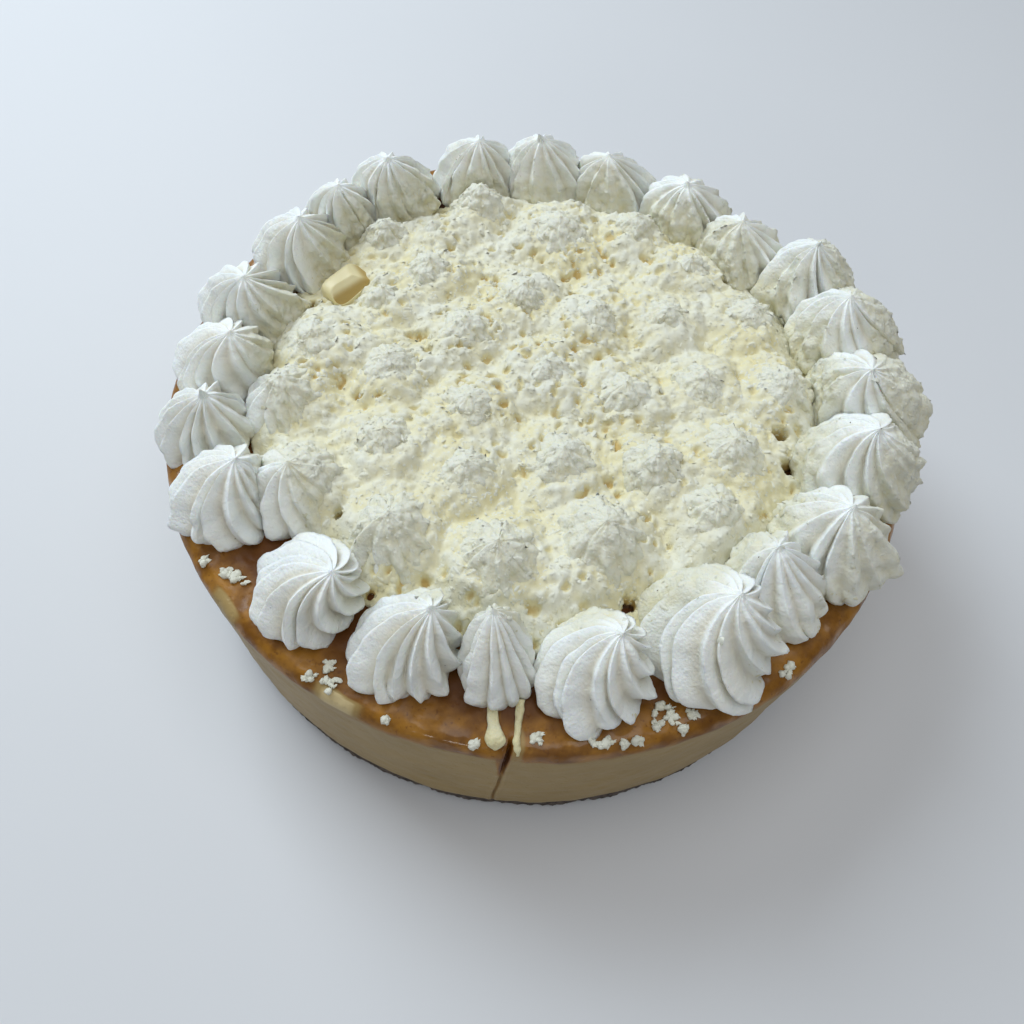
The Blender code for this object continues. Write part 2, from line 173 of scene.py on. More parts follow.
@dataclass
class Skin:
    """A closed surface in mm with the values that its finish reads.

    Attributes:
        points: one row for each point.
        quads: four point numbers for each four-sided face.
        triangles: three point numbers for each triangle.
        values: a number for each point, by name.
        facing: the way in which each point is shaded, where that isn't the mesh's own.
    """

    points: np.ndarray
    quads: np.ndarray
    triangles: np.ndarray
    values: dict[str, np.ndarray] = field(default_factory=dict)
    facing: np.ndarray | None = None

    def corners(self) -> np.ndarray:
        """Point numbers of the surface as triangles alone."""
        halves = [self.quads[:, [0, 1, 2]], self.quads[:, [0, 2, 3]], self.triangles]
        return np.concatenate(halves)

    def into_object(self, name: str, material: bpy.types.Material) -> bpy.types.Object:
        """Puts the surface into a new object, with its place in its mesh and smooth faces.

        Args:
            name: the piece's name.
            material: the piece's finish.

        Returns:
            The new object, linked to the scene.
        """
        mesh = bpy.data.meshes.new(name)
        mesh.vertices.add(len(self.points))
        mesh.vertices.foreach_set("co", (self.points * MM).astype(np.float32).ravel())
        loops = np.concatenate([self.quads.ravel(), self.triangles.ravel()]).astype(np.int32)
        four = np.arange(len(self.quads)) * 4
        three = 4 * len(self.quads) + np.arange(len(self.triangles)) * 3
        starts = np.concatenate([four, three]).astype(np.int32)
        mesh.loops.add(len(loops))
        mesh.loops.foreach_set("vertex_index", loops)
        mesh.polygons.add(len(starts))
        mesh.polygons.foreach_set("loop_start", starts)
        mesh.polygons.foreach_set("use_smooth", np.full(len(starts), True))
        for key, numbers in self.values.items():
            attribute = mesh.attributes.new(key, "FLOAT", "POINT")
            attribute.data.foreach_set("value", numbers.astype(np.float32))
        mesh.update(calc_edges=True)
        if self.facing is not None:
            mesh.normals_split_custom_set_from_vertices(self.facing)
        mesh.materials.append(material)
        piece = bpy.data.objects.new(name, mesh)
        bpy.context.scene.collection.objects.link(piece)
        return piece


def closed_skin(rings: np.ndarray, low_pole: np.ndarray, high_pole: np.ndarray) -> Skin:
    """Joins rings of points, low to high and counter-clockwise, and closes both ends with a fan.

    Args:
        rings: points as (rings, columns, 3).
        low_pole: the point that closes the first ring.
        high_pole: the point that closes the last ring.

    Returns:
        The closed surface. Its points are the rings in order, then the low and the high pole.
    """
    rows, columns = rings.shape[:2]
    number = np.arange(rows * columns).reshape(rows, columns)
    beside = np.roll(number, -1, axis=1)
    quads = np.stack([number[:-1], beside[:-1], beside[1:], number[1:]], axis=-1).reshape(-1, 4)
    low = np.full(columns, rows * columns)
    fans = [np.stack([low, beside[0], number[0]], 1), np.stack([number[-1], beside[-1], low + 1], 1)]
    points = np.concatenate([rings.reshape(-1, 3), low_pole[None], high_pole[None]])
    return Skin(points, quads, np.concatenate(fans))


def ball_rings(levels: int, columns: int) -> np.ndarray:
    """A ball of radius 1 as rings from low to high, without its poles.

    A ring at the latitude u has its points at (cos u cos v, cos u sin v, sin u), with v running round.

    Args:
        levels: number of rings.
        columns: points of a ring.

    Returns:
        The points as (levels, columns, 3).
    """
    up = np.linspace(-0.5 * math.pi, 0.5 * math.pi, levels + 2)[1:-1, None]
    around = np.linspace(0.0, 2.0 * math.pi, columns, endpoint=False)[None]
    across = np.cos(up)
    return np.stack(np.broadcast_arrays(across * np.cos(around), across * np.sin(around), np.sin(up)), -1)


def disc_places(steps: int, radius: float) -> tuple[np.ndarray, np.ndarray]:
    """An even square grid drawn out to a disc: each square ring of the grid becomes a circle.

    Args:
        steps: squares along a side.
        radius: the disc's radius in mm.

    Returns:
        The x and y of the grid's points, each as (steps + 1, steps + 1).
    """
    side = np.linspace(-1.0, 1.0, steps + 1)
    a, b = np.meshgrid(side, side, indexing="ij")
    wide = np.abs(a) > np.abs(b)
    reach = np.where(wide, a, b)
    safe = np.where(reach == 0.0, 1.0, reach)
    turn = np.where(wide, 0.25 * math.pi * b / safe, 0.5 * math.pi - 0.25 * math.pi * a / safe)
    return radius * reach * np.cos(turn), radius * reach * np.sin(turn)


def disc_skin(top: np.ndarray, floor: float) -> Skin:
    """Closes a disc-shaped grid of points with an upright skirt and a flat floor.

    Args:
        top: points as (steps + 1, steps + 1, 3).
        floor: the height of the floor in mm.

    Returns:
        The closed surface, whose first points are the grid's.
    """
    steps = top.shape[0] - 1
    number = np.arange((steps + 1) ** 2).reshape(steps + 1, steps + 1)
    quads = np.stack([number[:-1, :-1], number[1:, :-1], number[1:, 1:], number[:-1, 1:]], -1)
    sides = [number[:-1, 0], number[-1, :-1], number[:0:-1, -1], number[0, :0:-1]]
    edge = np.concatenate(sides)
    foot = number.size + np.arange(len(edge))
    skirt = np.stack([foot, np.roll(foot, -1), np.roll(edge, -1), edge], 1)
    centre = np.full(len(edge), number.size + len(edge))
    fan = np.stack([centre, np.roll(foot, -1), foot], 1)
    flat = top.reshape(-1, 3)
    lowered = flat[edge].copy()
    lowered[:, 2] = floor
    points = np.concatenate([flat, lowered, [[0.0, 0.0, floor]]])
    return Skin(points, np.concatenate([quads.reshape(-1, 4), skirt]), fan)


# Shader nodes


class NodeSheet:
    """Short ways to add and join nodes in one tree."""

    def __init__(self, tree: bpy.types.NodeTree) -> None:
        """Keeps the tree.

        Args:
            tree: the material's or the group's node tree.
        """
        self.tree = tree

    def add(self, kind: str, **settings: object) -> bpy.types.Node:
        """Adds a node and sets its own settings.

        Args:
            kind: the node's type.
            settings: its settings by name.

        Returns:
            The new node.
        """
        node = self.tree.nodes.new(kind)
        for key, value in settings.items():
            setattr(node, key, value)
        return node

    def feed(self, node: bpy.types.Node, inputs: dict[str | int, object]) -> bpy.types.Node:
        """Gives a node's inputs: a socket is linked, and anything else is set as the value.

        Args:
            node: the node that takes them.
            inputs: sockets, numbers or colours by input name or number.

        Returns:
            The same node.
        """
        for key, value in inputs.items():
            if isinstance(value, bpy.types.NodeSocket):
                self.tree.links.new(value, node.inputs[key])
            else:
                node.inputs[key].default_value = value
        return node

    def place(self) -> bpy.types.NodeSocket:
        """Object coordinates, in metres in the frame's axes."""
        return self.add("ShaderNodeTexCoord").outputs["Object"]

    def value(self, name: str) -> bpy.types.NodeSocket:
        """A number stored with the mesh's points."""
        return self.add("ShaderNodeAttribute", attribute_name=name).outputs["Fac"]

    def noise(self, size: float, detail: float = 3.0, roughness: float = 0.5) -> bpy.types.NodeSocket:
        """Noise from 0 to 1 by the place on the object.

        Args:
            size: size of its largest patches in mm.
            detail: how many finer layers it has.
            roughness: how strong the finer layers are.

        Returns:
            The socket with the noise.
        """
        inputs = {"Vector": self.place(), "Scale": 1.0 / (size * MM)}
        inputs.update({"Detail": detail, "Roughness": roughness})
        return self.feed(self.add("ShaderNodeTexNoise"), inputs).outputs["Fac"]

    def math(self, kind: str, first: object, second: object) -> bpy.types.NodeSocket:
        """One sum or other step on two numbers."""
        node = self.add("ShaderNodeMath", operation=kind)
        return self.feed(node, {0: first, 1: second}).outputs[0]

    def ramp(
        self, value: object, low: object, high: object, start: float = 0.0, end: float = 1.0
    ) -> bpy.types.NodeSocket:
        """Goes smoothly from start to end while the value goes from low to high.

        Args:
            value: the number or socket that is read.
            low: where the change starts.
            high: where it ends.
            start: what comes out at low.
            end: what comes out at high.

        Returns:
            The socket with the result.
        """
        node = self.add("ShaderNodeMapRange", interpolation_type="SMOOTHSTEP")
        self.feed(node, {"Value": value, "From Min": low, "From Max": high, "To Min": start, "To Max": end})
        return node.outputs["Result"]

    def mix(self, share: object, first: object, second: object) -> bpy.types.NodeSocket:
        """Mixes two colours by a share.

        Args:
            share: 0 for the first colour and 1 for the second.
            first: a colour or its socket.
            second: a colour or its socket.

        Returns:
            The socket with the mixed colour.
        """
        node = self.add("ShaderNodeMix", data_type="RGBA")
        inputs = {"Factor": share, "A": first, "B": second}
        for key, value in inputs.items():
            socket = next(s for s in node.inputs if s.name == key and s.enabled)
            if isinstance(value, bpy.types.NodeSocket):
                self.tree.links.new(value, socket)
            else:
                socket.default_value = value if key == "Factor" else (*value[:3], 1.0)
        return next(s for s in node.outputs if s.enabled)

    def group(self, tree: bpy.types.NodeTree, inputs: dict[str | int, object]) -> bpy.types.Node:
        """Places a node group and gives its inputs."""
        return self.feed(self.add("ShaderNodeGroup", node_tree=tree), inputs)


class SharedGroups:
    """Node groups that more than one finish uses, each built once."""

    def __init__(self) -> None:
        """Builds the groups."""
        self.mottle = self.make_mottle()
        self.grain = self.make_grain()
        self.grated = self.make_grated()

    @staticmethod
    def start(
        name: str, inputs: dict[str, object], outputs: dict[str, str]
    ) -> tuple[NodeSheet, dict[str, bpy.types.NodeSocket], bpy.types.Node]:
        """Starts a group with named sockets.

        Args:
            name: the group's name.
            inputs: default number or colour by input name.
            outputs: socket type by output name.

        Returns:
            The sheet to add nodes to, the inner sockets of the inputs by name, and the output node.
        """
        tree = bpy.data.node_groups.new(name, "ShaderNodeTree")
        for key, value in inputs.items():
            kind = "NodeSocketColor" if isinstance(value, tuple) else "NodeSocketFloat"
            socket = tree.interface.new_socket(key, in_out="INPUT", socket_type=kind)
            socket.default_value = (*value, 1.0) if isinstance(value, tuple) else value
        for key, kind in outputs.items():
            tree.interface.new_socket(key, in_out="OUTPUT", socket_type=kind)
        sheet = NodeSheet(tree)
        inner = sheet.add("NodeGroupInput")
        return sheet, {key: inner.outputs[key] for key in inputs}, sheet.add("NodeGroupOutput")

    def make_mottle(self) -> bpy.types.NodeTree:
        """A colour that wanders between two others in soft patches, by noise at the given scale.

        Returns:
            The group's tree.
        """
        inputs = {"First": (0.8, 0.8, 0.8), "Second": (0.5, 0.5, 0.5), "Scale": 100.0, "Contrast": 0.15}
        sheet, given, out = self.start("soft mottle", inputs, {"Colour": "NodeSocketColor"})
        noise = sheet.add("ShaderNodeTexNoise")
        inputs = {"Vector": sheet.place(), "Scale": given["Scale"], "Detail": 4.0, "Roughness": 0.55}
        sheet.feed(noise, inputs)
        low = sheet.math("SUBTRACT", 0.5, given["Contrast"])
        high = sheet.math("ADD", 0.5, given["Contrast"])
        share = sheet.ramp(noise.outputs["Fac"], low, high)
        sheet.feed(out, {"Colour": sheet.mix(share, given["First"], given["Second"])})
        return sheet.tree

    def make_grain(self) -> bpy.types.NodeTree:
        """A height of fine noise over coarse noise, with small round pits where Pits is above 0.

        Returns:
            The group's tree.
        """
        inputs = {"Coarse Scale": 300.0, "Fine Scale": 1500.0, "Fine Share": 0.4}
        inputs.update({"Pit Scale": 500.0, "Pits": 0.0})
        sheet, given, out = self.start("food grain", inputs, {"Height": "NodeSocketFloat"})
        place = sheet.place()
        coarse = sheet.add("ShaderNodeTexNoise")
        sheet.feed(coarse, {"Vector": place, "Scale": given["Coarse Scale"], "Detail": 2.0})
        fine = sheet.add("ShaderNodeTexNoise")
        sheet.feed(fine, {"Vector": place, "Scale": given["Fine Scale"], "Detail": 2.0})
        pits = sheet.add("ShaderNodeTexVoronoi")
        sheet.feed(pits, {"Vector": place, "Scale": given["Pit Scale"]})
        depth = sheet.math("MULTIPLY", sheet.ramp(pits.outputs["Distance"], 0.12, 0.32), given["Pits"])
        both = sheet.math("MULTIPLY", fine.outputs["Fac"], given["Fine Share"])
        total = sheet.math("ADD", sheet.math("ADD", coarse.outputs["Fac"], both), depth)
        sheet.feed(out, {"Height": total})
        return sheet.tree

    def make_grated(self) -> bpy.types.NodeTree:
        """The colour of grated chocolate by its tone and shade value: pale at 0, yellow at 1, brownish at 2
        and dark at 3.

        Returns:
            The group's tree.
        """
        # Besides a random tone, the value carries painted light and shade: yellow in hollows, the pit shade
        # colour in pits and the shade colour in the deepest gaps.
        inputs = {"Pale": (0.725, 0.725, 0.625), "Yellow": (0.71, 0.65, 0.39), "Pit Shade": (0.54, 0.39, 0.14)}
        inputs.update({"Shade": (0.09, 0.045, 0.018), "Tint": 0.0})
        sheet, given, out = self.start("grated colour", inputs, {"Colour": "NodeSocketColor"})
        noise = sheet.math("MULTIPLY", sheet.math("SUBTRACT", sheet.noise(2.5), 0.5), 0.9)
        tone_and_shade = sheet.math("ADD", given["Tint"], noise)
        light = sheet.mix(sheet.ramp(tone_and_shade, -0.1, 1.1), given["Pale"], given["Yellow"])
        deep = sheet.mix(sheet.ramp(tone_and_shade, 1.05, 2.1), light, given["Pit Shade"])
        sheet.feed(out, {"Colour": sheet.mix(sheet.ramp(tone_and_shade, 2.3, 3.0), deep, given["Shade"])})
        return sheet.tree

    def patches(
        self, sheet: NodeSheet, first: tuple, second: tuple, scale: float, contrast: float
    ) -> bpy.types.NodeSocket:
        """Places the mottle in a material.

        Args:
            sheet: the material's sheet.
            first: one colour.
            second: the other colour.
            scale: patches to a metre.
            contrast: half the noise's range over which one colour turns into the other.

        Returns:
            The colour.
        """
        given = {"First": (*first, 1.0), "Second": (*second, 1.0), "Scale": scale, "Contrast": contrast}
        return sheet.group(self.mottle, given).outputs["Colour"]

    def crumbly(
        self,
        sheet: NodeSheet,
        coarse: float,
        fine: float = 1500.0,
        share: float = 0.4,
        pit: float = 500.0,
        pits: float = 0.0,
    ) -> bpy.types.NodeSocket:
        """Places the grain in a material.

        Args:
            sheet: the material's sheet.
            coarse: coarse bumps to a metre.
            fine: fine bumps to a metre.
            share: height of the fine bumps as a share of the coarse ones'.
            pit: pits to a metre.
            pits: depth of the pits.

        Returns:
            The height for a bump.
        """
        given = {"Coarse Scale": coarse, "Fine Scale": fine, "Fine Share": share}
        given.update({"Pit Scale": pit, "Pits": pits})
        return sheet.group(self.grain, given).outputs["Height"]

    def chocolate(self, sheet: NodeSheet) -> bpy.types.NodeSocket:
        """Places the grated colour in a material, by the tone and shade value of the mesh."""
        return sheet.group(self.grated, {"Tint": sheet.value("tone_and_shade")}).outputs["Colour"]


@dataclass(frozen=True)
class Finish:
    """What every finish shares.

    Attributes:
        name: the material's name.
        rough: roughness of the surface.
        depth: how far light spreads under the surface in mm.
        spread: share of the light that goes under the surface.
        relief: height of the bump in mm.
    """

    name: str
    rough: float
    depth: float = 0.0
    spread: float = 0.0
    relief: float = 0.1

    def colour(self, sheet: NodeSheet, shared: SharedGroups) -> bpy.types.NodeSocket:
        """The socket with the surface's colour."""
        raise NotImplementedError

    def height(self, sheet: NodeSheet, shared: SharedGroups) -> bpy.types.NodeSocket:
        """The socket with the height for the bump."""
        raise NotImplementedError

    def extras(self, sheet: NodeSheet, shader: bpy.types.Node) -> None:
        """Anything more that this finish sets on its shader."""

    def make(self, shared: SharedGroups) -> bpy.types.Material:
        """Builds the material.

        Args:
            shared: the shared node groups.

        Returns:
            The finished material.
        """
        material = bpy.data.materials.new(self.name)
        material.use_nodes = True
        sheet = NodeSheet(material.node_tree)
        shader = material.node_tree.nodes["Principled BSDF"]
        bump = sheet.add("ShaderNodeBump")
        height = self.height(sheet, shared)
        sheet.feed(bump, {"Height": height, "Distance": self.relief * MM, "Strength": 1.0})
        sheet.feed(shader, {"Base Color": self.colour(sheet, shared), "Normal": bump.outputs["Normal"]})
        shader.inputs["Roughness"].default_value = self.rough
        shader.inputs["Subsurface Weight"].default_value = self.spread
        shader.inputs["Subsurface Radius"].default_value = (1.0, 0.8, 0.5)
        shader.inputs["Subsurface Scale"].default_value = self.depth * MM
        self.extras(sheet, shader)
        return material


@dataclass(frozen=True)
class WhippedCream(Finish):
    """Whipped cream: matt, nearly white, yellower where grated chocolate lies on it.

    Attributes:
        light: colour of most of the cream.
        warm: colour of its warmer patches.
        groove_shade_colour: colour of the painted shade deep in the grooves.
    """

    name: str = "whipped cream"
    rough: float = 0.6
    depth: float = 1.5
    spread: float = 0.22
    relief: float = 0.42
    light: tuple = (0.87, 0.91, 0.91)
    warm: tuple = (0.87, 0.88, 0.83)
    groove_shade_colour: tuple = (0.70, 0.66, 0.54)

    def colour(self, sheet: NodeSheet, shared: SharedGroups) -> bpy.types.NodeSocket:
        """Soft patches of two creams, with painted shade in the grooves, turning to the grated colour with
        the dust.

        Args:
            sheet: the material's sheet.
            shared: the shared node groups.

        Returns:
            The socket with the colour.
        """
        cream = shared.patches(sheet, self.light, self.warm, 90.0, 0.25)
        # Painted shade: deep in the grooves the cream turns to a darker, warmer colour.
        cream = sheet.mix(sheet.ramp(sheet.value("groove_shade"), 0.0, 1.0, 0.0, 0.85), cream, self.groove_shade_colour)
        return sheet.mix(sheet.ramp(sheet.value("dust"), 0.05, 0.75), cream, shared.chocolate(sheet))

    def height(self, sheet: NodeSheet, shared: SharedGroups) -> bpy.types.NodeSocket:
        """Fine froth with a few pits."""
        return shared.crumbly(sheet, coarse=420.0, fine=1300.0, share=0.55, pit=600.0, pits=0.12)


@dataclass(frozen=True)
class GratedChocolateFinish(Finish):
    """Grated white chocolate: pale cream yellow, with painted shade that deepens it in the hollows."""

    name: str = "grated chocolate"
    rough: float = 0.75
    relief: float = 0.12

    def colour(self, sheet: NodeSheet, shared: SharedGroups) -> bpy.types.NodeSocket:
        """The shared grated colour, by the tone and shade value."""
        return shared.chocolate(sheet)

    def height(self, sheet: NodeSheet, shared: SharedGroups) -> bpy.types.NodeSocket:
        """Crumbly grain."""
        return shared.crumbly(sheet, coarse=700.0, fine=2600.0, share=0.5, pit=900.0, pits=0.4)


@dataclass(frozen=True)
class BakedCheese(Finish):
    """Baked cheese: pale and smooth at the side, browned and satin on top.

    Attributes:
        pale: colour of the side.
        pale_deep: colour of the side's darker patches.
        scraped: colour where the crust is scraped off.
        golden: colour of the crust's lighter patches.
        brown: colour of its browner patches.
        dark: colour of its specks, and of the painted shade in sheltered places and in the cut.
    """

    name: str = "baked cheese"
    rough: float = 0.45
    relief: float = 0.14
    pale: tuple = (0.375, 0.262, 0.106)
    pale_deep: tuple = (0.315, 0.215, 0.080)
    scraped: tuple = (0.66, 0.54, 0.30)
    golden: tuple = (0.345, 0.155, 0.018)
    brown: tuple = (0.17, 0.066, 0.007)
    dark: tuple = (0.11, 0.036, 0.007)

    def colour(self, sheet: NodeSheet, shared: SharedGroups) -> bpy.types.NodeSocket:
        """The colour by the browning and shade value: paler under 0, pale at 0, brown at 1 and dark at 2,
        where values over 1 are mostly painted shade.

        Args:
            sheet: the material's sheet.
            shared: the shared node groups.

        Returns:
            The socket with the colour.
        """
        pale = shared.patches(sheet, self.pale, self.pale_deep, 45.0, 0.3)
        baked = shared.patches(sheet, self.golden, self.brown, 130.0, 0.16)
        specks = sheet.ramp(sheet.noise(1.6, 2.0, 0.6), 0.60, 0.72, 0.0, 0.55)
        browning_and_shade = sheet.value("browning_and_shade")
        pale = sheet.mix(sheet.ramp(browning_and_shade, 0.0, -1.0), pale, self.scraped)
        mixed = sheet.mix(sheet.ramp(browning_and_shade, 0.0, 1.0), pale, sheet.mix(specks, baked, self.dark))
        # Values over 1, mostly painted shade near the swirls and in the cut, turn to the dark colour.
        return sheet.mix(sheet.ramp(browning_and_shade, 1.0, 2.0), mixed, self.dark)

    def height(self, sheet: NodeSheet, shared: SharedGroups) -> bpy.types.NodeSocket:
        """Low unevenness with small burst bubbles."""
        return shared.crumbly(sheet, coarse=220.0, fine=1500.0, share=0.25, pit=420.0, pits=0.6)

    def extras(self, sheet: NodeSheet, shader: bpy.types.Node) -> None:
        """The browned edge has a thin glossy skin in patches.

        Args:
            sheet: the material's sheet.
            shader: the material's shader.
        """
        sheet.feed(shader, {"Coat Weight": sheet.value("gloss")})
        shader.inputs["Coat Roughness"].default_value = 0.13
        shader.inputs["Specular IOR Level"].default_value = 0.2


@dataclass(frozen=True)
class DarkBiscuit(Finish):
    """Pressed biscuit crumb: dark brown with paler crumbs.

    Attributes:
        dark: colour between the crumbs.
        crumb: colour of the crumbs.
    """

    name: str = "dark biscuit"
    rough: float = 0.8
    relief: float = 0.35
    dark: tuple = (0.030, 0.022, 0.018)
    crumb: tuple = (0.13, 0.10, 0.08)

    def colour(self, sheet: NodeSheet, shared: SharedGroups) -> bpy.types.NodeSocket:
        """Dark between the crumbs and paler on them."""
        return shared.patches(sheet, self.dark, self.crumb, 420.0, 0.2)

    def height(self, sheet: NodeSheet, shared: SharedGroups) -> bpy.types.NodeSocket:
        """Coarse crumb."""
        return shared.crumbly(sheet, coarse=500.0, fine=2000.0, share=0.6, pit=600.0, pits=0.8)


@dataclass(frozen=True)
class PaleChocolate(Finish):
    """A smooth broken piece of white chocolate, with browner painted shade on its cut slope.

    Attributes:
        smooth: colour of its smooth faces.
        broken: colour of the painted shade on its cut faces.
    """

    name: str = "pale chocolate"
    rough: float = 0.42
    depth: float = 1.5
    spread: float = 0.2
    relief: float = 0.05
    smooth: tuple = (0.78, 0.70, 0.42)
    broken: tuple = (0.42, 0.29, 0.085)

    def colour(self, sheet: NodeSheet, shared: SharedGroups) -> bpy.types.NodeSocket:
        """Pale, turning browner with the painted shade on the cut faces."""
        return sheet.mix(sheet.ramp(sheet.value("broken"), 0.1, 1.0), self.smooth, self.broken)

    def height(self, sheet: NodeSheet, shared: SharedGroups) -> bpy.types.NodeSocket:
        """Nearly smooth."""
        return shared.crumbly(sheet, coarse=250.0, fine=1200.0, share=0.2)


@dataclass(frozen=True)
class VanillaSeed(Finish):
    """Tiny dark vanilla seeds.

    Attributes:
        seed: colour of most seeds.
        husk: colour of the paler ones.
    """

    name: str = "vanilla seeds"
    rough: float = 0.6
    relief: float = 0.05
    seed: tuple = (0.05, 0.035, 0.025)
    husk: tuple = (0.12, 0.08, 0.05)

    def colour(self, sheet: NodeSheet, shared: SharedGroups) -> bpy.types.NodeSocket:
        """Dark with a little variation."""
        return shared.patches(sheet, self.seed, self.husk, 800.0, 0.3)

    def height(self, sheet: NodeSheet, shared: SharedGroups) -> bpy.types.NodeSocket:
        """Fine grain."""
        return shared.crumbly(sheet, coarse=1500.0)


@dataclass(frozen=True)
class FloorPaint(Finish):
    """Plain pale floor.

    Attributes:
        first: one colour of its faint patches.
        second: the other colour.
    """

    name: str = "pale floor"
    rough: float = 0.6
    relief: float = 0.02
    first: tuple = (0.66, 0.67, 0.69)
    second: tuple = (0.64, 0.65, 0.67)

    def colour(self, sheet: NodeSheet, shared: SharedGroups) -> bpy.types.NodeSocket:
        """Nearly even."""
        return shared.patches(sheet, self.first, self.second, 3.0, 0.4)

    def height(self, sheet: NodeSheet, shared: SharedGroups) -> bpy.types.NodeSocket:
        """Nearly flat."""
        return shared.crumbly(sheet, coarse=60.0, share=0.1)


# The cake


@dataclass(frozen=True)
class CakeSizes:
    """Driving sizes in mm, shared by the parts of the cake.

    Attributes:
        radius: radius of the filling, read from the frame.
        top: height of the filling's browned top.
        base: thickness of the biscuit base, read from the frame.
    """

    radius: float
    top: float
    base: float

    @classmethod
    def from_frame(cls, gap: float = 0.3) -> "CakeSizes":
        """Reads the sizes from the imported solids.

        Args:
            gap: space between touching solids in mm.

        Returns:
            The cake's sizes.
        """
        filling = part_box("cheese_filling")
        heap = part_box("grated_chocolate")
        return cls(filling[1].y / MM, heap[0].z / MM - gap, filling[0].z / MM)


@dataclass(frozen=True)
class Swirl:
    """One piped swirl.

    Attributes:
        angle: clock angle of the foot in degrees.
        distance: distance of the foot from the middle of the cake in mm.
        width: width of the foot in mm.
        height: height in mm.
        lean: how far the tip is drawn towards the middle in mm.
        drift: how far the tip drifts counter-clockwise in mm.
        twist: how far the ridges turn from foot to tip in degrees.
        spike: height of the little peak that the nozzle pulls up, in mm.
        petal: 0 for thin crests with wide hollows between, 1 for round ridges with thin grooves.
    """

    angle: float
    distance: float
    width: float
    height: float
    lean: float = 0.0
    drift: float = 0.0
    twist: float = 35.0
    spike: float = 0.6
    petal: float = 0.6

    def foot(self) -> np.ndarray:
        """Middle of the foot, at height 0."""
        return polar(self.angle, self.distance)

    def tip_offset(self) -> np.ndarray:
        """How far the tip stands from the middle of the foot, seen from above."""
        return polar(self.angle, -self.lean) + polar(self.angle + 90.0, self.drift)


RIM_SWIRLS = (
    Swirl(-93, 95, 22, 23, 8, -3, 8, 0.8, 0.9),
    Swirl(-108, 96, 32, 23, 6, 6, 50, 1.2, 0.15),
    Swirl(-127, 96, 33, 22, 4, 10, 72, 0.6, 0.2),
    Swirl(-149, 100, 34, 21, 7, 1, 48, 0.8, 0.3),
    Swirl(-164, 101, 30, 21, 4, 2, 25, 3.5, 0.2),
    Swirl(-178, 98, 34, 22, 7, 3, 50, 0.8, 0.3),
    Swirl(168, 97, 37, 24, 5, 5, 45, 0.6, 0.3),
    Swirl(150, 97, 36, 23, 6, 3, 35, 0.8, 0.2),
    Swirl(138, 98, 30, 23, 5, 3, 30, 0.6, 0.5),
    Swirl(126, 97, 37, 26, 6, 3, 30, 0.8, 0.4),
    Swirl(107, 97, 34, 24, 5, 0, 18, 0.6, 0.4),
    Swirl(92, 96, 35, 24, 4, 2, 22, 2.6, 0.3),
    Swirl(76, 96, 35, 22, 6, 3, 12, 0.8, 0.3),
    Swirl(59, 95, 38, 22, 6, 0, 28, 1.2, 0.4),
    Swirl(43, 93, 37, 21, 5, 1, 30, 0.8, 0.5),
    Swirl(29, 101, 36, 27, 3, 0, 48, 1.6, 0.5),
    Swirl(15, 102, 40, 26, 6, 0, 60, 0.8, 0.5),
    Swirl(1, 103, 41, 27, 8, -5, 50, 0.8, 0.5),
    Swirl(-15, 98, 39, 28, 2, -2, 80, 0.8, 0.3),
    Swirl(-31, 99, 37, 25, 2, -1, 30, 1.2, 0.3),
    Swirl(-45, 95, 32, 23, 6, 0, 34, 0.8, 0.5),
    Swirl(-59, 95, 40, 26, 1, 3, 88, 1.0, 0.2),
    Swirl(-79, 95, 33, 22, 3, 6, 84, 0.8, 0.15),
)

INNER_SWIRLS = (
    Swirl(-144, 81, 33, 21),
    Swirl(-167, 77, 30, 19),
    Swirl(178, 70, 30, 18),
    Swirl(154, 58, 20, 15),
    Swirl(136, 77, 22, 17),
    Swirl(125, 70, 21, 15),
    Swirl(135, 54, 26, 17),
    Swirl(109, 77, 25, 19),
    Swirl(87, 63, 34, 17),
    Swirl(66, 72, 26, 18),
    Swirl(46, 69, 25, 16),
    Swirl(23, 72, 28, 17),
    Swirl(0, 74, 29, 18),
    Swirl(-24, 62, 29, 18),
    Swirl(-43, 69, 28, 19),
    Swirl(-71, 61, 33, 22),
    Swirl(-97, 66, 32, 21),
    Swirl(-122, 70, 31, 20),
    Swirl(-144, 53, 28, 18),
    Swirl(-176, 46, 28, 17),
    Swirl(150, 28, 27, 17),
    Swirl(103, 31, 26, 17),
    Swirl(55, 28, 26, 17),
    Swirl(32, 46, 26, 17),
    Swirl(-1, 50, 26, 17),
    Swirl(-45, 48, 26, 21),
    Swirl(-76, 34, 29, 18),
    Swirl(-115, 44, 27, 18),
    Swirl(-140, 26, 28, 17),
    Swirl(-27, 2, 27, 17),
    Swirl(-15, 27, 28, 17),
)

# Gaps between the swirls where the browned top shows, painted near black as deep shade: x, y and radius in
# mm
DARK_GAPS = (
    (-14, 82, 2.2), (-76, 24, 1.8), (-74, 21, 1.3), (62, 47, 2.4), (73, -16, 2.0), (76, -26, 2.6),
    (28, -74, 2.0), (-52, -56, 1.2), (-44, -68, 1.3), (-41, -76, 1.2), (45, -48, 1.3),
)


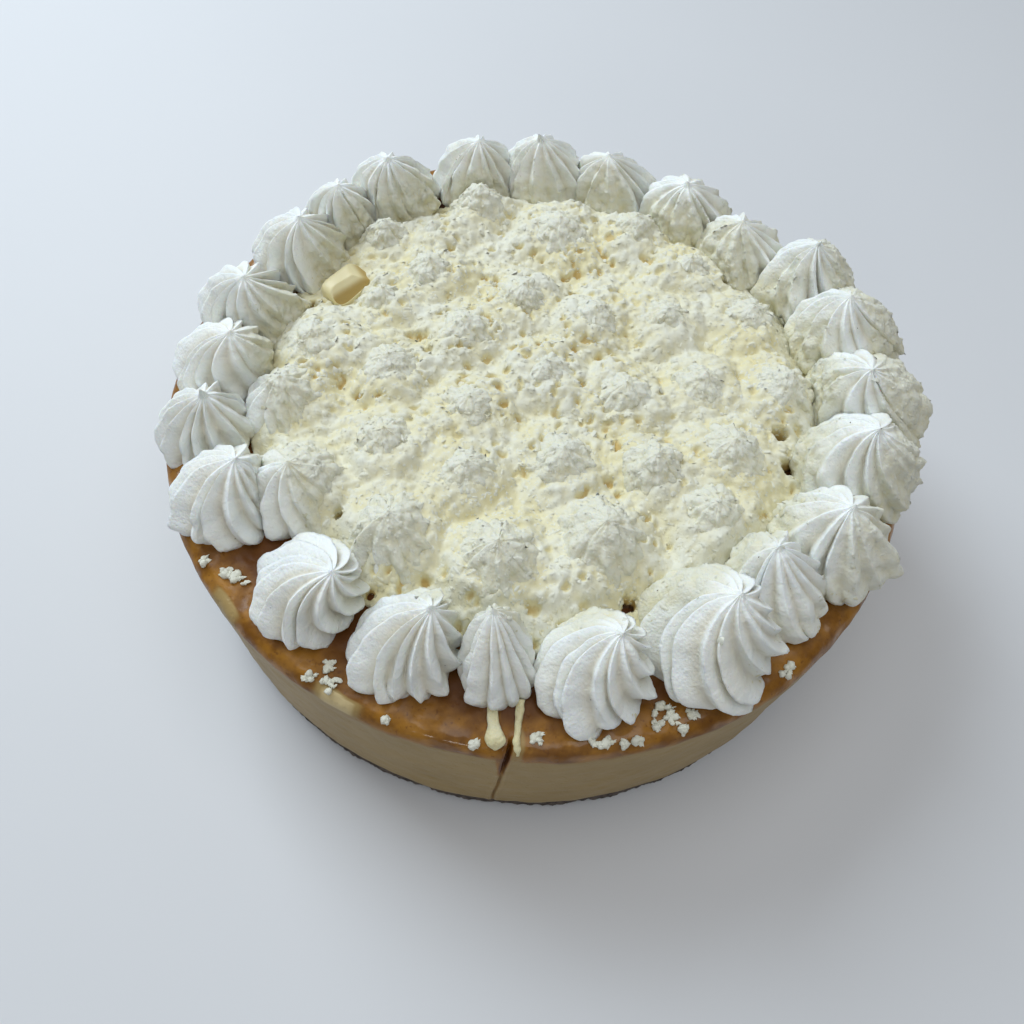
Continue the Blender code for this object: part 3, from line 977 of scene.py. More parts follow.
@dataclass(frozen=True)
class Dusting:
    """Where grated chocolate lies on the cream.

    Attributes:
        reach: distance from the middle that it covers, in mm.
        fade: half the width over which it thins out, in mm.
        thrown_angle: clock angle towards which more was thrown, in degrees.
        thrown_width: how wide that side is, in degrees.
        thrown_reach: how much further it covers on that side, in mm.
    """

    reach: float = 83.0
    fade: float = 8.0
    thrown_angle: float = 12.0
    thrown_width: float = 58.0
    thrown_reach: float = 3.0

    def cover(self, points: np.ndarray) -> np.ndarray:
        """Share of the surface that is covered, from 0 to 1.

        It is 1 within the reach and fades outwards. On the thrown side the reach is longer and the
        outer flanks, past 96 mm, are covered again.

        Args:
            points: places in mm.

        Returns:
            The share for each place.
        """
        angle = np.degrees(np.arctan2(points[..., 1], points[..., 0])) - self.thrown_angle
        thrown = np.exp(-((angle / self.thrown_width) ** 2))
        distance = np.hypot(points[..., 0], points[..., 1]) + 5.0 * soft_noise(points, 14.0, 5)
        reach = self.reach + self.thrown_reach * thrown
        inner = 1.0 - smooth_step(-self.fade, self.fade, distance - reach)
        outer = thrown * smooth_step(96.0, 107.0, distance)
        return np.clip(inner + 0.9 * outer, 0.0, 1.0)


@dataclass
class CreamPiping:
    """All piped swirls, each its own piece that stands for its solid.

    Attributes:
        sizes: the cake's sizes.
        dusting: where grated chocolate lies.
        overlap: how far neighbours press into each other, in mm.
        sink: how far a foot reaches into what it stands on, in mm.
        groove: depth of the grooves as a share of the radius.
        filled: how much of a groove grated chocolate fills where it covers fully.
        tuck: how far the foot is drawn in, as a share of the radius.
        settle: how much lower a fully covered swirl is, as a share of its height.
        press: how gradually a swirl flattens against its neighbour, in mm.
        swell: layers of the cream's own unevenness.
        crumbs: layers of the crumbs that stand out where grated chocolate covers.
        skins: the surfaces that are built, for the loose bits on them.
    """

    sizes: CakeSizes
    dusting: Dusting
    overlap: float = 0.5
    sink: float = 0.4
    groove: float = 0.31
    filled: float = 0.72
    tuck: float = 0.17
    settle: float = 0.09
    press: float = 0.7
    swell: tuple = ((0.50, 6.5, 11), (0.30, 2.6, 12), (0.12, 1.2, 17))
    crumbs: tuple = ((1.5, 3.4, 13), (0.9, 1.7, 14))
    skins: list[Skin] = field(default_factory=list)

    def contact_reach(self, swirl: Swirl, centres: np.ndarray, ways: np.ndarray) -> np.ndarray:
        """How far the swirl can reach along each way before it meets a neighbour.

        A plane stands between the feet of two neighbours, its place shared out by their widths. The
        reach is the room up to the nearest plane, divided by how squarely the way faces it, and a way
        that only grazes the plane is free.

        Args:
            swirl: the swirl.
            centres: middle of each ring, as (rings, 1, 3).
            ways: unit directions, as (rings, columns, 3).

        Returns:
            The reach in mm, as (rings, columns).
        """
        free, least, grazing = 99.0, 0.6, 0.05
        reach = np.full(ways.shape[:2], free)
        for other in RIM_SWIRLS + INNER_SWIRLS:
            way = other.foot() - swirl.foot()
            apart = float(np.linalg.norm(way))
            if other is swirl or apart > 0.6 * (swirl.width + other.width):
                continue
            way /= apart
            point = swirl.foot() + way * (apart * swirl.width / (swirl.width + other.width) + self.overlap)
            facing = ways @ way
            room = (point - centres) @ way
            limit = np.where(facing > grazing, room / np.maximum(facing, grazing), free)
            reach = np.minimum(reach, np.maximum(limit, least))
        return reach

    def skin(self, swirl: Swirl, ridges: int, samples: int, rows: int, rng: np.random.Generator) -> Skin:
        """The surface of one swirl.

        The radius follows a dome, (1 - level squared) to a power that is lower for rounder swirls, tucked
        in at the foot. Across each ridge it falls from the crest to the groove by a blend of a sharp and a
        round profile, with the groove to one side, and each ridge has its own reach, depth, place and
        sway. The ridges turn with the level, and the tip ends in a small peak. Where grated chocolate
        covers the swirl, the grooves are filled, most on the outer flanks, and crumbs stand out.

        Args:
            swirl: the swirl.
            ridges: number of ridges.
            samples: points across one ridge.
            rows: number of rings.
            rng: source of the unevenness.

        Returns:
            The closed surface with its values: dust for the cover, tone_and_shade for the cover's colour
                with its painted light and shade,
            and groove_shade for the painted shade deep in a groove.
        """
        share = np.arange(ridges * samples) / samples
        ridge = share.astype(int)
        along = share - ridge
        blend = smooth_step(0.0, 1.0, along)

        def per_ridge(numbers: np.ndarray) -> np.ndarray:
            """Spreads one number for each ridge smoothly over the columns."""
            return numbers[ridge] * (1.0 - blend) + numbers[(ridge + 1) % ridges] * blend

        step = np.linspace(0.0, 1.0, rows, endpoint=False)[:, None]
        level = np.sin(0.5 * math.pi * step)
        reach = per_ridge(1.0 + rng.normal(0.0, 0.05, ridges))
        valley = np.clip(0.5 + rng.normal(0.10, 0.05, ridges), 0.4, 0.68)[ridge]
        crest = np.where(along < valley, 1.0 - along / valley, (along - valley) / (1.0 - valley))
        round_share = swirl.petal * (1.0 - 0.6 * level)
        round_share = round_share + (0.85 - round_share) * np.exp(-((level / 0.26) ** 2))
        profile = (1.0 - round_share) * crest**1.6 + round_share * (1.0 - (1.0 - crest) ** 2.6)
        deep = per_ridge(self.groove * rng.uniform(0.6, 1.4, ridges)) * (0.9 + 0.3 * level)
        deep = deep * (0.42 + 0.58 * smooth_step(0.02, 0.34, level))
        tongue = per_ridge(np.abs(rng.normal(0.0, 0.05, ridges))) * crest * np.exp(-((level / 0.12) ** 2))

        sway = per_ridge(rng.uniform(0.03, 0.13, ridges))
        phase = per_ridge(rng.uniform(0.0, 2.0, ridges))
        turn = 2.0 * math.pi * share / ridges + per_ridge(rng.normal(0.0, 0.09, ridges))
        turn = turn + rng.uniform(0.0, 6.28) - math.radians(swirl.twist) * level**0.9
        turn = turn + sway * np.sin(5.0 * level + 3.0 * phase) * (1.0 - level)
        ways = np.stack([np.cos(turn), np.sin(turn), np.zeros_like(turn)], axis=-1)

        mound = float(self.dusting.cover(swirl.foot()[None])[0])
        tall = swirl.height * (1.0 - self.settle * mound) + self.sink
        height = self.sizes.top - self.sink + tall * level[..., None]
        peak = smooth_step(0.88, 1.0, step)[..., None]
        bend = rng.uniform(-0.6, 0.6, 2) * swirl.spike
        centres = swirl.foot() + swirl.tip_offset() * level[..., None] ** 1.5
        centres = centres + peak * np.array([bend[0], bend[1], 0.0])
        centres[..., 2] = (height + swirl.spike * peak)[..., 0]

        tuck = 1.0 - self.tuck * np.exp(-((level / 0.11) ** 2))
        pulse = 1.0 + 0.022 * np.sin(rng.uniform(14.0, 24.0) * level + 2.0 * phase)
        dome = 0.5 * swirl.width * tuck * pulse * (1.0 - level**2) ** (0.66 + 0.16 * mound)
        outline = centres + ways * dome[..., None]
        cover = self.dusting.cover(outline)
        dome = dome + mound * 1.1 * soft_noise(outline, 8.0, 16) * (1.0 - level**4)
        thick = smooth_step(-66.0, -30.0, outline[..., 1])
        flank = smooth_step(97.0, 106.0, np.hypot(outline[..., 0], outline[..., 1]))
        kept = 1.0 - cover * (self.filled - 0.12 * (1.0 - thick) + 0.22 * flank)
        radius = dome * (reach + tongue * kept - deep * kept * (1.0 - profile))
        limit = self.contact_reach(swirl, centres, ways)
        radius = -self.press * np.logaddexp(-radius / self.press, -limit / self.press)
        rings = centres + ways * np.maximum(radius, 0.05)[..., None]

        fade = np.minimum(1.0, radius / 3.0)
        torn = 0.35 * crest**3 * soft_noise(rings, 1.5, 15) * smooth_step(0.55, 0.0, level)
        swell = layered(soft_noise, rings, self.swell) + torn
        crumbs = layered(crumb_noise, rings, self.crumbs) - 1.0
        crumbs = crumbs * (0.75 + 0.25 * thick)
        rings = rings + ways * ((swell + cover * crumbs) * fade)[..., None]
        rings[..., 2] += 0.35 * cover * crumbs * fade
        # Painted light and shade: the cover is paler higher up, on the crumbs and on the crests, and
        # yellower between the crumbs and in the grooves.
        tone_and_shade = 0.50 - 0.38 * crumbs - 0.30 * level - 0.35 * (profile - 0.5) * kept
        low = swirl.foot() + np.array([0.0, 0.0, self.sizes.top - self.sink])
        high = rings[-1].mean(axis=0) + np.array([0.0, 0.0, 0.2])
        skin = closed_skin(rings, low, high)
        skin.values["dust"] = np.concatenate([cover.ravel(), [0.0, cover[-1].mean()]])
        skin.values["tone_and_shade"] = np.concatenate([tone_and_shade.ravel(), [0.5, tone_and_shade[-1].mean()]])
        # Painted shade: how deep each point lies in a groove, for the cream's darker colour there.
        groove_shade = (1.0 - profile) ** 2 * smooth_step(1.0, 0.86, level) * kept
        skin.values["groove_shade"] = np.concatenate([groove_shade.ravel(), [0.0, 0.0]])
        return skin

    def build(self, material: bpy.types.Material) -> None:
        """Builds every swirl, rim first.

        Args:
            material: the cream.
        """
        rng = np.random.default_rng(21)
        for kind, swirls, detail in (
            ("rim", RIM_SWIRLS, {"ridges": 13, "samples": 15, "rows": 50}),
            ("inner", INNER_SWIRLS, {"ridges": 12, "samples": 12, "rows": 36}),
        ):
            for number, swirl in enumerate(swirls, start=1):
                skin = self.skin(swirl, rng=rng, **detail)
                self.skins.append(skin)
                piece = skin.into_object(f"{kind}_cream_{number:02d}", material)
                dress(piece, Slot.CREAM, f"{kind}_swirl_{number:02d}")


def dress(piece: bpy.types.Object, slot: Slot, *nodes: str) -> None:
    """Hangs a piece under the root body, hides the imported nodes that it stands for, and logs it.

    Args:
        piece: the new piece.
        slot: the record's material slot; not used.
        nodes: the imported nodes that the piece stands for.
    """
    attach(piece, "root")
    if nodes:
        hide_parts(*nodes)
    LOG.info("%s: %d faces", piece.name, len(piece.data.polygons))


@dataclass
class Scatter:
    """Loose bits of grated chocolate as real meshes.

    Attributes:
        rng: source of the unevenness.
        slimness: width of a middling shaving as a share of its length.
        flatness: thickness of a middling shaving as a share of its width.
        shaving_sunk: how deep a shaving lies in the surface, as a share of its width.
        crumb_sunk: how deep a crumb lies in the surface, as a share of its size.
    """

    rng: np.random.Generator
    slimness: float = 0.36
    flatness: float = 0.38
    shaving_sunk: float = 0.12
    crumb_sunk: float = 0.13

    def seats(
        self, skins: list[Skin], covers: list[np.ndarray], count: int
    ) -> tuple[np.ndarray, np.ndarray]:
        """Random places on surfaces, more where the cover is high and none on faces that look down.

        A face is chosen by its area times its cover, and the place in it by two even shares of its sides.

        Args:
            skins: the surfaces.
            covers: how densely each surface's points are covered.
            count: how many places.

        Returns:
            The places and the surface's direction at each.
        """
        faces = [skin.points[skin.corners()] for skin in skins]
        weights = [cover[skin.corners()].mean(axis=1) for skin, cover in zip(skins, covers)]
        corners = np.concatenate(faces)
        across = np.cross(corners[:, 1] - corners[:, 0], corners[:, 2] - corners[:, 0])
        area = np.linalg.norm(across, axis=1)
        weight = area * np.concatenate(weights) * (across[:, 2] > -0.2 * area)
        chosen = self.rng.choice(len(corners), size=count, p=weight / weight.sum())
        first, second = self.rng.uniform(size=(2, count, 1))
        flip = first + second > 1.0
        first, second = np.where(flip, 1.0 - first, first), np.where(flip, 1.0 - second, second)
        face = corners[chosen]
        places = face[:, 0] + first * (face[:, 1] - face[:, 0]) + second * (face[:, 2] - face[:, 0])
        return places, across[chosen] / area[chosen, None]

    def ways(self, normals: np.ndarray, tilt: float) -> tuple[np.ndarray, np.ndarray, np.ndarray]:
        """Three directions for each bit: along it, across it and out of its flat side.

        Args:
            normals: the direction of the surface below each bit.
            tilt: how far a bit may stand up, as a share of a right angle's sine.

        Returns:
            The three unit directions.
        """
        loose = self.rng.normal(size=normals.shape)
        loose -= np.sum(loose * normals, axis=1, keepdims=True) * normals
        loose /= np.linalg.norm(loose, axis=1, keepdims=True)
        along = loose + self.rng.normal(0.0, tilt, (len(normals), 1)) * normals
        along /= np.linalg.norm(along, axis=1, keepdims=True)
        lifted = normals + self.rng.normal(0.0, tilt, normals.shape)
        across = np.cross(lifted, along)
        across /= np.linalg.norm(across, axis=1, keepdims=True)
        return along, across, np.cross(along, across)

    def shavings(self, places: np.ndarray, normals: np.ndarray, scale: float, tilt: float) -> Skin:
        """Curled shavings: two narrow three-sided sections and two pointed ends along a bent line.

        The line leaves the straight by the curl times (step squared less 0.1), with steps from -0.5 to 0.5.

        Args:
            places: where each shaving lies.
            normals: the direction of the surface there.
            scale: length of a middling shaving in mm.
            tilt: how far they stand up.

        Returns:
            One surface with all shavings.
        """
        count = len(places)
        length = scale * np.clip(self.rng.lognormal(0.0, 0.35, (count, 1, 1)), 0.4, 1.7)
        width = self.slimness * length * self.rng.uniform(0.6, 1.3, (count, 1, 1))
        thick = self.flatness * width * self.rng.uniform(0.6, 1.3, (count, 1, 1))
        curl = length * self.rng.normal(0.0, 0.3, (count, 1, 1))
        along, across, out = (way[:, None] for way in self.ways(normals, tilt))
        step = np.array([-0.5, -0.2, 0.2, 0.5])[None, :, None]
        middle = places[:, None] - normals[:, None] * self.shaving_sunk * width
        line = middle + along * length * step + out * curl * (step**2 - 0.1)
        inner = line[:, 1:3]
        sides = [inner + 0.5 * across * width, inner + out * thick, inner - 0.5 * across * width]
        sections = np.stack(sides, axis=2).reshape(count, 6, 3)
        points = np.concatenate([line[:, :1], sections, line[:, 3:]], axis=1)
        ring = np.array([0, 1, 2])
        beside = np.roll(ring, -1)
        faces = [np.stack([ring * 0, 1 + beside, 1 + ring], 1)]
        faces.append(np.stack([4 + ring, 4 + beside, ring * 0 + 7], 1))
        faces.append(np.stack([1 + ring, 1 + beside, 4 + beside], 1))
        faces.append(np.stack([1 + ring, 4 + beside, 4 + ring], 1))
        skin = self.many(points, np.concatenate(faces))
        round_way = np.stack([-along, *([across, out, -across] * 2), along], axis=1)[:, :, 0]
        skin.facing = self.softened(round_way, normals)
        return skin

    def crumbs(self, places: np.ndarray, normals: np.ndarray, scale: float) -> Skin:
        """Crumbs: uneven, somewhat flattened lumps with eight faces, sunk a little into the surface.

        Args:
            places: where each crumb lies.
            normals: the direction of the surface there.
            scale: width of a middling crumb in mm.

        Returns:
            One surface with all crumbs.
        """
        count = len(places)
        size = scale * np.clip(self.rng.lognormal(0.0, 0.35, (count, 1)), 0.4, 1.8)
        along, across, out = self.ways(normals, 0.3)
        arms = [along, across, -along, -across, 0.6 * out, -0.6 * out]
        reach = [0.5 * size * self.rng.uniform(0.6, 1.25, (count, 1)) for _ in arms]
        middle = places - normals * self.crumb_sunk * size
        points = np.stack([middle + arm * far for arm, far in zip(arms, reach)], axis=1)
        ring = np.arange(4)
        beside = np.roll(ring, -1)
        faces = [np.stack([ring, beside, ring * 0 + 4], 1), np.stack([beside, ring, ring * 0 + 5], 1)]
        skin = self.many(points, np.concatenate(faces))
        skin.facing = self.softened(np.stack(arms, axis=1), normals)
        return skin

    @staticmethod
    def softened(ways: np.ndarray, normals: np.ndarray, share: float = 0.5) -> np.ndarray:
        """Turns the shading of loose bits towards the surface that they lie on, as in a soft heap.

        Args:
            ways: the way that each point of each bit faces, as (bits, points, 3).
            normals: the direction of the surface below each bit.
            share: how far it is turned.

        Returns:
            Unit directions, one row for each point.
        """
        mixed = (1.0 - share) * ways + share * normals[:, None]
        mixed = mixed / np.maximum(np.linalg.norm(mixed, axis=2, keepdims=True), 1e-6)
        return mixed.reshape(-1, 3)

    def lumps(self, places: np.ndarray, scale: float) -> Skin:
        """Soft lumps: balls of five rings, squashed and dented at random.

        Args:
            places: the middle of each lump.
            scale: width of a middling lump in mm.

        Returns:
            One surface with all lumps.
        """
        count = len(places)
        pattern = closed_skin(ball_rings(5, 9), np.array([0.0, 0.0, -1.0]), np.array([0.0, 0.0, 1.0]))
        size = scale * np.clip(self.rng.lognormal(0.0, 0.35, (count, 1, 1)), 0.45, 1.7)
        squash = self.rng.uniform(0.65, 1.2, (count, 1, 3))
        dents = self.rng.normal(1.0, 0.13, (count, len(pattern.points), 1))
        points = places[:, None] + 0.5 * size * squash * dents * pattern.points[None]
        return self.many(points, pattern.corners())

    @staticmethod
    def many(points: np.ndarray, faces: np.ndarray) -> Skin:
        """Repeats one list of faces for each body.

        Args:
            points: points as (bodies, points of a body, 3).
            faces: the faces of one body.

        Returns:
            One surface with all bodies.
        """
        bodies, each = points.shape[:2]
        offsets = np.arange(bodies)[:, None, None] * each
        corners = (faces[None] + offsets).reshape(-1, 3)
        return Skin(points.reshape(-1, 3), np.zeros((0, 4), int), corners)

    @staticmethod
    def tone_and_shade(skin: Skin, shade: np.ndarray) -> None:
        """Gives each body of a surface one tone and shade value.

        Args:
            skin: the surface with all bodies.
            shade: one number for each body.
        """
        skin.values["tone_and_shade"] = np.repeat(shade, len(skin.points) // len(shade))


@dataclass
class GratedChocolate:
    """The grated heap: an uneven bed with loose shavings and crumbs on it and on the swirls.

    Attributes:
        sizes: the cake's sizes.
        radius: radius of the bed in mm.
        full: height of the bed in mm.
        edge: height of its outer edge in mm.
        edge_width: width over which it thins out in mm.
        steps: squares along a side of the bed's grid.
        chunk_gap: x, y, depth and width in mm of the dip in which the pale chunk shows.
        pit_depth: depth of the small pits in mm.
        crumbs: layers of crumbs.
        grain: layers of fine unevenness between them.
        waves: layers of long waves.
    """

    sizes: CakeSizes
    radius: float = 89.0
    full: float = 7.5
    edge: float = 2.0
    edge_width: float = 13.0
    steps: int = 312
    chunk_gap: tuple = (-61.0, 28.0, 5.5, 8.0)
    pit_depth: float = 1.6
    crumbs: tuple = ((1.35, 4.6, 31), (0.75, 2.3, 34))
    grain: tuple = ((0.45, 1.9, 35), (0.15, 1.1, 36))
    waves: tuple = ((0.9, 9.0, 37),)

    def smooth_height(self, x: np.ndarray, y: np.ndarray) -> np.ndarray:
        """Long waves and short bumps, thinning out to the edge, with drifts against the swirls.

        Args:
            x: places in mm.
            y: places in mm.

        Returns:
            Height over the filling in mm.
        """
        waves = np.sin(0.095 * x + 1.3) * np.cos(0.080 * y - 0.4)
        bumps = np.sin(0.230 * x + 2.0) * np.sin(0.210 * y + 0.7)
        height = self.full + 1.1 * (waves + bumps)
        drift = np.zeros_like(x)
        for swirls, rise in ((RIM_SWIRLS, 2.2), (INNER_SWIRLS, 4.4)):
            for swirl in swirls:
                foot = swirl.foot()
                apart = np.hypot(x - foot[0], y - foot[1]) - 0.30 * swirl.width
                drift = np.maximum(drift, rise * np.exp(-((np.maximum(apart, 0.0) / 7.0) ** 2)))
        height = height + drift
        chunk_x, chunk_y, chunk_deep, chunk_wide = self.chunk_gap
        chunk = np.hypot(x - chunk_x, y - chunk_y)
        height = height - chunk_deep * np.exp(-((chunk / chunk_wide) ** 2))
        inside = np.clip((self.radius - np.hypot(x, y)) / self.edge_width, 0.0, 1.0)
        return self.edge + (height - self.edge) * inside

    def bed(self) -> Skin:
        """The bed: the smooth height with crumbs, small pits and the dark gaps, coloured with painted
        shade.

        Returns:
            The closed surface with its tone and shade value and its cover value.
        """
        x, y = disc_places(self.steps, self.radius)
        flat = np.stack([x, y, np.zeros_like(x)], axis=-1)
        smooth = self.smooth_height(x, y)
        crumbs = layered(crumb_noise, flat, self.crumbs) + layered(soft_noise, flat, self.grain)
        relief = crumbs + layered(soft_noise, flat, self.waves) - 1.2
        open_share = 0.5 + 0.5 * soft_noise(flat, 26.0, 49)
        pits = smooth_step(0.62, 0.90, crumb_noise(flat, 4.8, 41) + 0.20 * soft_noise(flat, 1.5, 42))
        pits = pits * smooth_step(0.10, 0.55, open_share)
        relief = relief - self.pit_depth * pits
        height = smooth + relief
        gap = np.zeros_like(x)
        for gap_x, gap_y, gap_radius in DARK_GAPS:
            ragged = gap_radius * (1.0 + 0.35 * soft_noise(flat, 2.0, 43))
            gap = np.maximum(gap, smooth_step(1.25, 0.75, np.hypot(x - gap_x, y - gap_y) / ragged))
        height = np.maximum(height, 0.4) * (1.0 - gap) - 0.6 * gap
        top = np.stack([x, y, self.sizes.top + height], axis=-1)
        skin = disc_skin(top, self.sizes.top - 1.0)
        # Painted shade: yellower in the lows, brownish in the pits and near black in the gaps; the noise
        # adds a random tone.
        tone_and_shade = 0.40 - 0.30 * relief + 0.22 * soft_noise(flat, 12.0, 47) + 0.8 * pits + 3.0 * gap
        rest = np.ones(len(skin.points) - tone_and_shade.size)
        skin.values["tone_and_shade"] = np.concatenate([tone_and_shade.ravel(), rest])
        skin.values["cover"] = np.concatenate([((1.0 - gap) * (1.0 - 0.8 * pits)).ravel(), 0.0 * rest])
        return skin

    def build(self, bed_finish: bpy.types.Material, cream: CreamPiping) -> None:
        """Builds the bed and the loose bits on it and on the cream.

        Args:
            bed_finish: the grated chocolate.
            cream: the swirls, already built.
        """
        bed = self.bed()
        dress(bed.into_object("grated_bed", bed_finish), Slot.GRATED, "grated_chocolate")
        scatter = Scatter(np.random.default_rng(33))
        covers = [0.7 * skin.values["dust"] ** 1.5 for skin in cream.skins]
        skins = [bed, *cream.skins]
        covers = [bed.values["cover"], *covers]
        bits = (
            ("grated_shavings_long", "shaving", 3500, 2.0, 0.15),
            ("grated_shavings_short", "shaving", 7500, 1.4, 0.2),
            ("grated_crumbs_large", "crumb", 12000, 1.5, 0.0),
            ("grated_crumbs_small", "crumb", 15000, 1.0, 0.0),
        )
        for name, kind, count, scale, tilt in bits:
            places, normals = scatter.seats(skins, covers, count)
            if kind == "shaving":
                skin = scatter.shavings(places, normals, scale, tilt)
            else:
                skin = scatter.crumbs(places, normals, scale)
            # Painted light and shade: bits higher up are paler and lower ones yellower, with a random tone
            # on top.
            higher = (places[:, 2] - self.sizes.top - self.full) / 9.0
            shade = 0.36 - 0.40 * higher + 0.25 * soft_noise(places, 11.0, 47)
            shade = shade + scatter.rng.normal(0.0, 0.12, count)
            scatter.tone_and_shade(skin, shade)
            dress(skin.into_object(name, bed_finish), Slot.GRATED)


@dataclass
class CheeseFilling:
    """The baked filling with its browned top, rounded edge and knife cut.

    Attributes:
        sizes: the cake's sizes.
        rounding: radius of the top edge in mm.
        cut_top: clock angle of the cut at the top in degrees.
        cut_bottom: clock angle of the cut at the biscuit in degrees.
        cut_depth: depth of the cut in mm.
        cut_half: half the width of the cut at the top in mm.
        cut_narrowing: how much narrower that half is lower down, in mm.
        lip: how far the filling stands out beside the cut, in mm.
        relief: layers of low unevenness all over.
        ragged: layers by which the browned parts wander, in mm.
        scrapes: clock angle and half the width in degrees, and paleness, of each scrape on the edge.
    """

    sizes: CakeSizes
    rounding: float = 4.5
    cut_top: float = -90.4
    cut_bottom: float = -92.0
    cut_depth: float = 2.2
    cut_half: float = 0.75
    cut_narrowing: float = 0.25
    lip: float = 0.25
    relief: tuple = ((0.30, 11.0, 51), (0.20, 3.5, 52))
    ragged: tuple = ((0.9, 6.0, 61), (0.5, 2.5, 62))
    scrapes: tuple = ((-113.6, 3.2, 0.7), (-134.5, 2.8, 0.1))

    def profile(self) -> tuple[np.ndarray, np.ndarray]:
        """Half the outline, from the middle of the underside round to the middle of the top.

        Returns:
            Points as (radius, height) and the outward direction at each.
        """
        size = self.sizes
        low = size.base
        arc = np.linspace(0.0, 0.5 * math.pi, 13)
        bottom = [(40.0, low), (90.0, low), (size.radius - 1.0, low), (size.radius - 0.3, low + 0.3)]
        levels = np.linspace(low + 1.0, size.top - self.rounding, 44, endpoint=False)
        wall = [(size.radius, level) for level in levels]
        inset, drop = size.radius - self.rounding, size.top - self.rounding
        edge = [(inset + self.rounding * math.cos(a), drop + self.rounding * math.sin(a)) for a in arc]
        shelf = [(r, size.top) for r in np.linspace(inset - 0.6, 92.0, 32)]
        middle = [(r, size.top) for r in (88.0, 80.0, 60.0, 30.0)]
        points = np.array(bottom + wall + edge + shelf + middle)
        run = np.gradient(points, axis=0)
        out = np.stack([run[:, 1], -run[:, 0]], axis=1)
        return points, out / np.linalg.norm(out, axis=1, keepdims=True)

    def columns(self) -> np.ndarray:
        """Clock angles, denser beside the cut: even steps along the running total of the density.

        Returns:
            One angle in radians for each column.
        """
        turn = np.linspace(-270.0, 90.0, 4001)
        density = 1.0 + 14.0 * np.exp(-(((turn + 91.0) / 2.2) ** 2))
        total = np.concatenate([[0.0], np.cumsum(0.5 * (density[1:] + density[:-1]))])
        share = np.linspace(0.0, total[-1], 860, endpoint=False)
        return np.radians(np.interp(share, total, turn))

    def skin(self) -> Skin:
        """The surface of the filling.

        The turned profile gets low unevenness along its outward direction. The cut is a narrow V along
        a slightly slanted line, pressed in along the same direction.

        Returns:
            The closed surface with its browning and shade value and the gloss of its browned edge.
        """
        profile, out = self.profile()
        turn = self.columns()
        ways = np.stack([np.cos(turn), np.sin(turn)], axis=1)
        flat = profile[:, None, :1] * ways[None]
        rings = np.concatenate([flat, np.repeat(profile[:, None, 1:], len(turn), axis=1)], axis=2)
        rising = np.repeat(out[:, None, 1:], len(turn), axis=1)
        outward = np.concatenate([out[:, None, :1] * ways[None], rising], axis=2)
        distance = np.hypot(rings[..., 0], rings[..., 1])
        height = rings[..., 2]
        low_share = np.clip((self.sizes.top - height) / (self.sizes.top - self.sizes.base), 0.0, 1.0)
        line = self.cut_top + (self.cut_bottom - self.cut_top) * low_share**0.8
        beside = (np.degrees(turn)[None] - line) * math.pi / 180.0 * distance
        wander = 0.35 * soft_noise(rings * np.array([0.1, 0.1, 1.0]), 7.0, 55)
        beside = beside + wander
        half = self.cut_half - self.cut_narrowing * smooth_step(0.0, 0.5, low_share)
        vee = np.clip(1.0 - np.abs(beside) / half, 0.0, 1.0) ** 0.9
        near = smooth_step(109.5, 113.0, distance)
        press = self.cut_depth * (1.0 - 0.70 * smooth_step(0.0, 0.4, low_share)) * vee * near
        lip = self.lip * np.exp(-(((np.abs(beside) - half - 0.7) / 0.8) ** 2)) * near
        on_top = smooth_step(self.sizes.top - 6.0, self.sizes.top - 1.0, height)
        relief = layered(soft_noise, rings, self.relief)
        relief = relief + 0.13 * on_top * soft_noise(rings, 1.6, 56)
        squashed = rings * np.array([0.25, 0.25, 1.0])
        relief = relief + 0.10 * (1.0 - on_top) * soft_noise(squashed, 2.0, 53)
        crater = on_top * 0.35 * smooth_step(0.70, 0.95, crumb_noise(rings, 4.5, 54))
        moved = relief - crater - press + lip
        moved = moved * smooth_step(0.0, 1.2, height - self.sizes.base)
        browning_and_shade = self.browning_and_shade(rings, beside, low_share, vee * near)
        patches = layered(soft_noise, rings, ((1.0, 4.2, 57), (0.5, 1.8, 58)))
        on_edge = smooth_step(106.0, 112.0, distance) * smooth_step(0.10, 0.03, low_share)
        gloss = 0.03 + 0.7 * smooth_step(-0.15, 0.30, patches) * on_edge
        rings = rings + outward * moved[..., None]
        low = np.array([0.0, 0.0, self.sizes.base])
        high = np.array([0.0, 0.0, self.sizes.top])
        skin = closed_skin(rings, low, high)
        skin.values["browning_and_shade"] = np.concatenate([browning_and_shade.ravel(), [0.0, 1.0]])
        gloss = gloss * np.clip(browning_and_shade, 0.0, 1.0)
        skin.values["gloss"] = np.concatenate([gloss.ravel(), [0.0, 0.0]])
        return skin

    def browning_and_shade(
        self, rings: np.ndarray, beside: np.ndarray, low_share: np.ndarray, vee: np.ndarray
    ) -> np.ndarray:
        """How browned the surface is, with painted shade over it: 1 on top, fading over the rounded edge, 0
        at the side.

        The side is browned in a band that runs down beside the cut, pale filling is smeared to its right,
        and two scrapes on the edge show pale. Values over 1 are darker: painted shade in the slit of the
        cut, and on the top near the swirls, where it is partly painted shade and partly deeper browning.
        Values under 0 are paler than the side.

        Args:
            rings: places in mm.
            beside: distance to the right of the cut's line in mm.
            low_share: 0 at the top and 1 at the biscuit.
            vee: 1 in the middle of the cut.

        Returns:
            The value for each place.
        """
        ragged = layered(soft_noise, rings, self.ragged)
        height = rings[..., 2] + ragged
        brown = smooth_step(self.sizes.top - 7.0, self.sizes.top - 3.2, height)
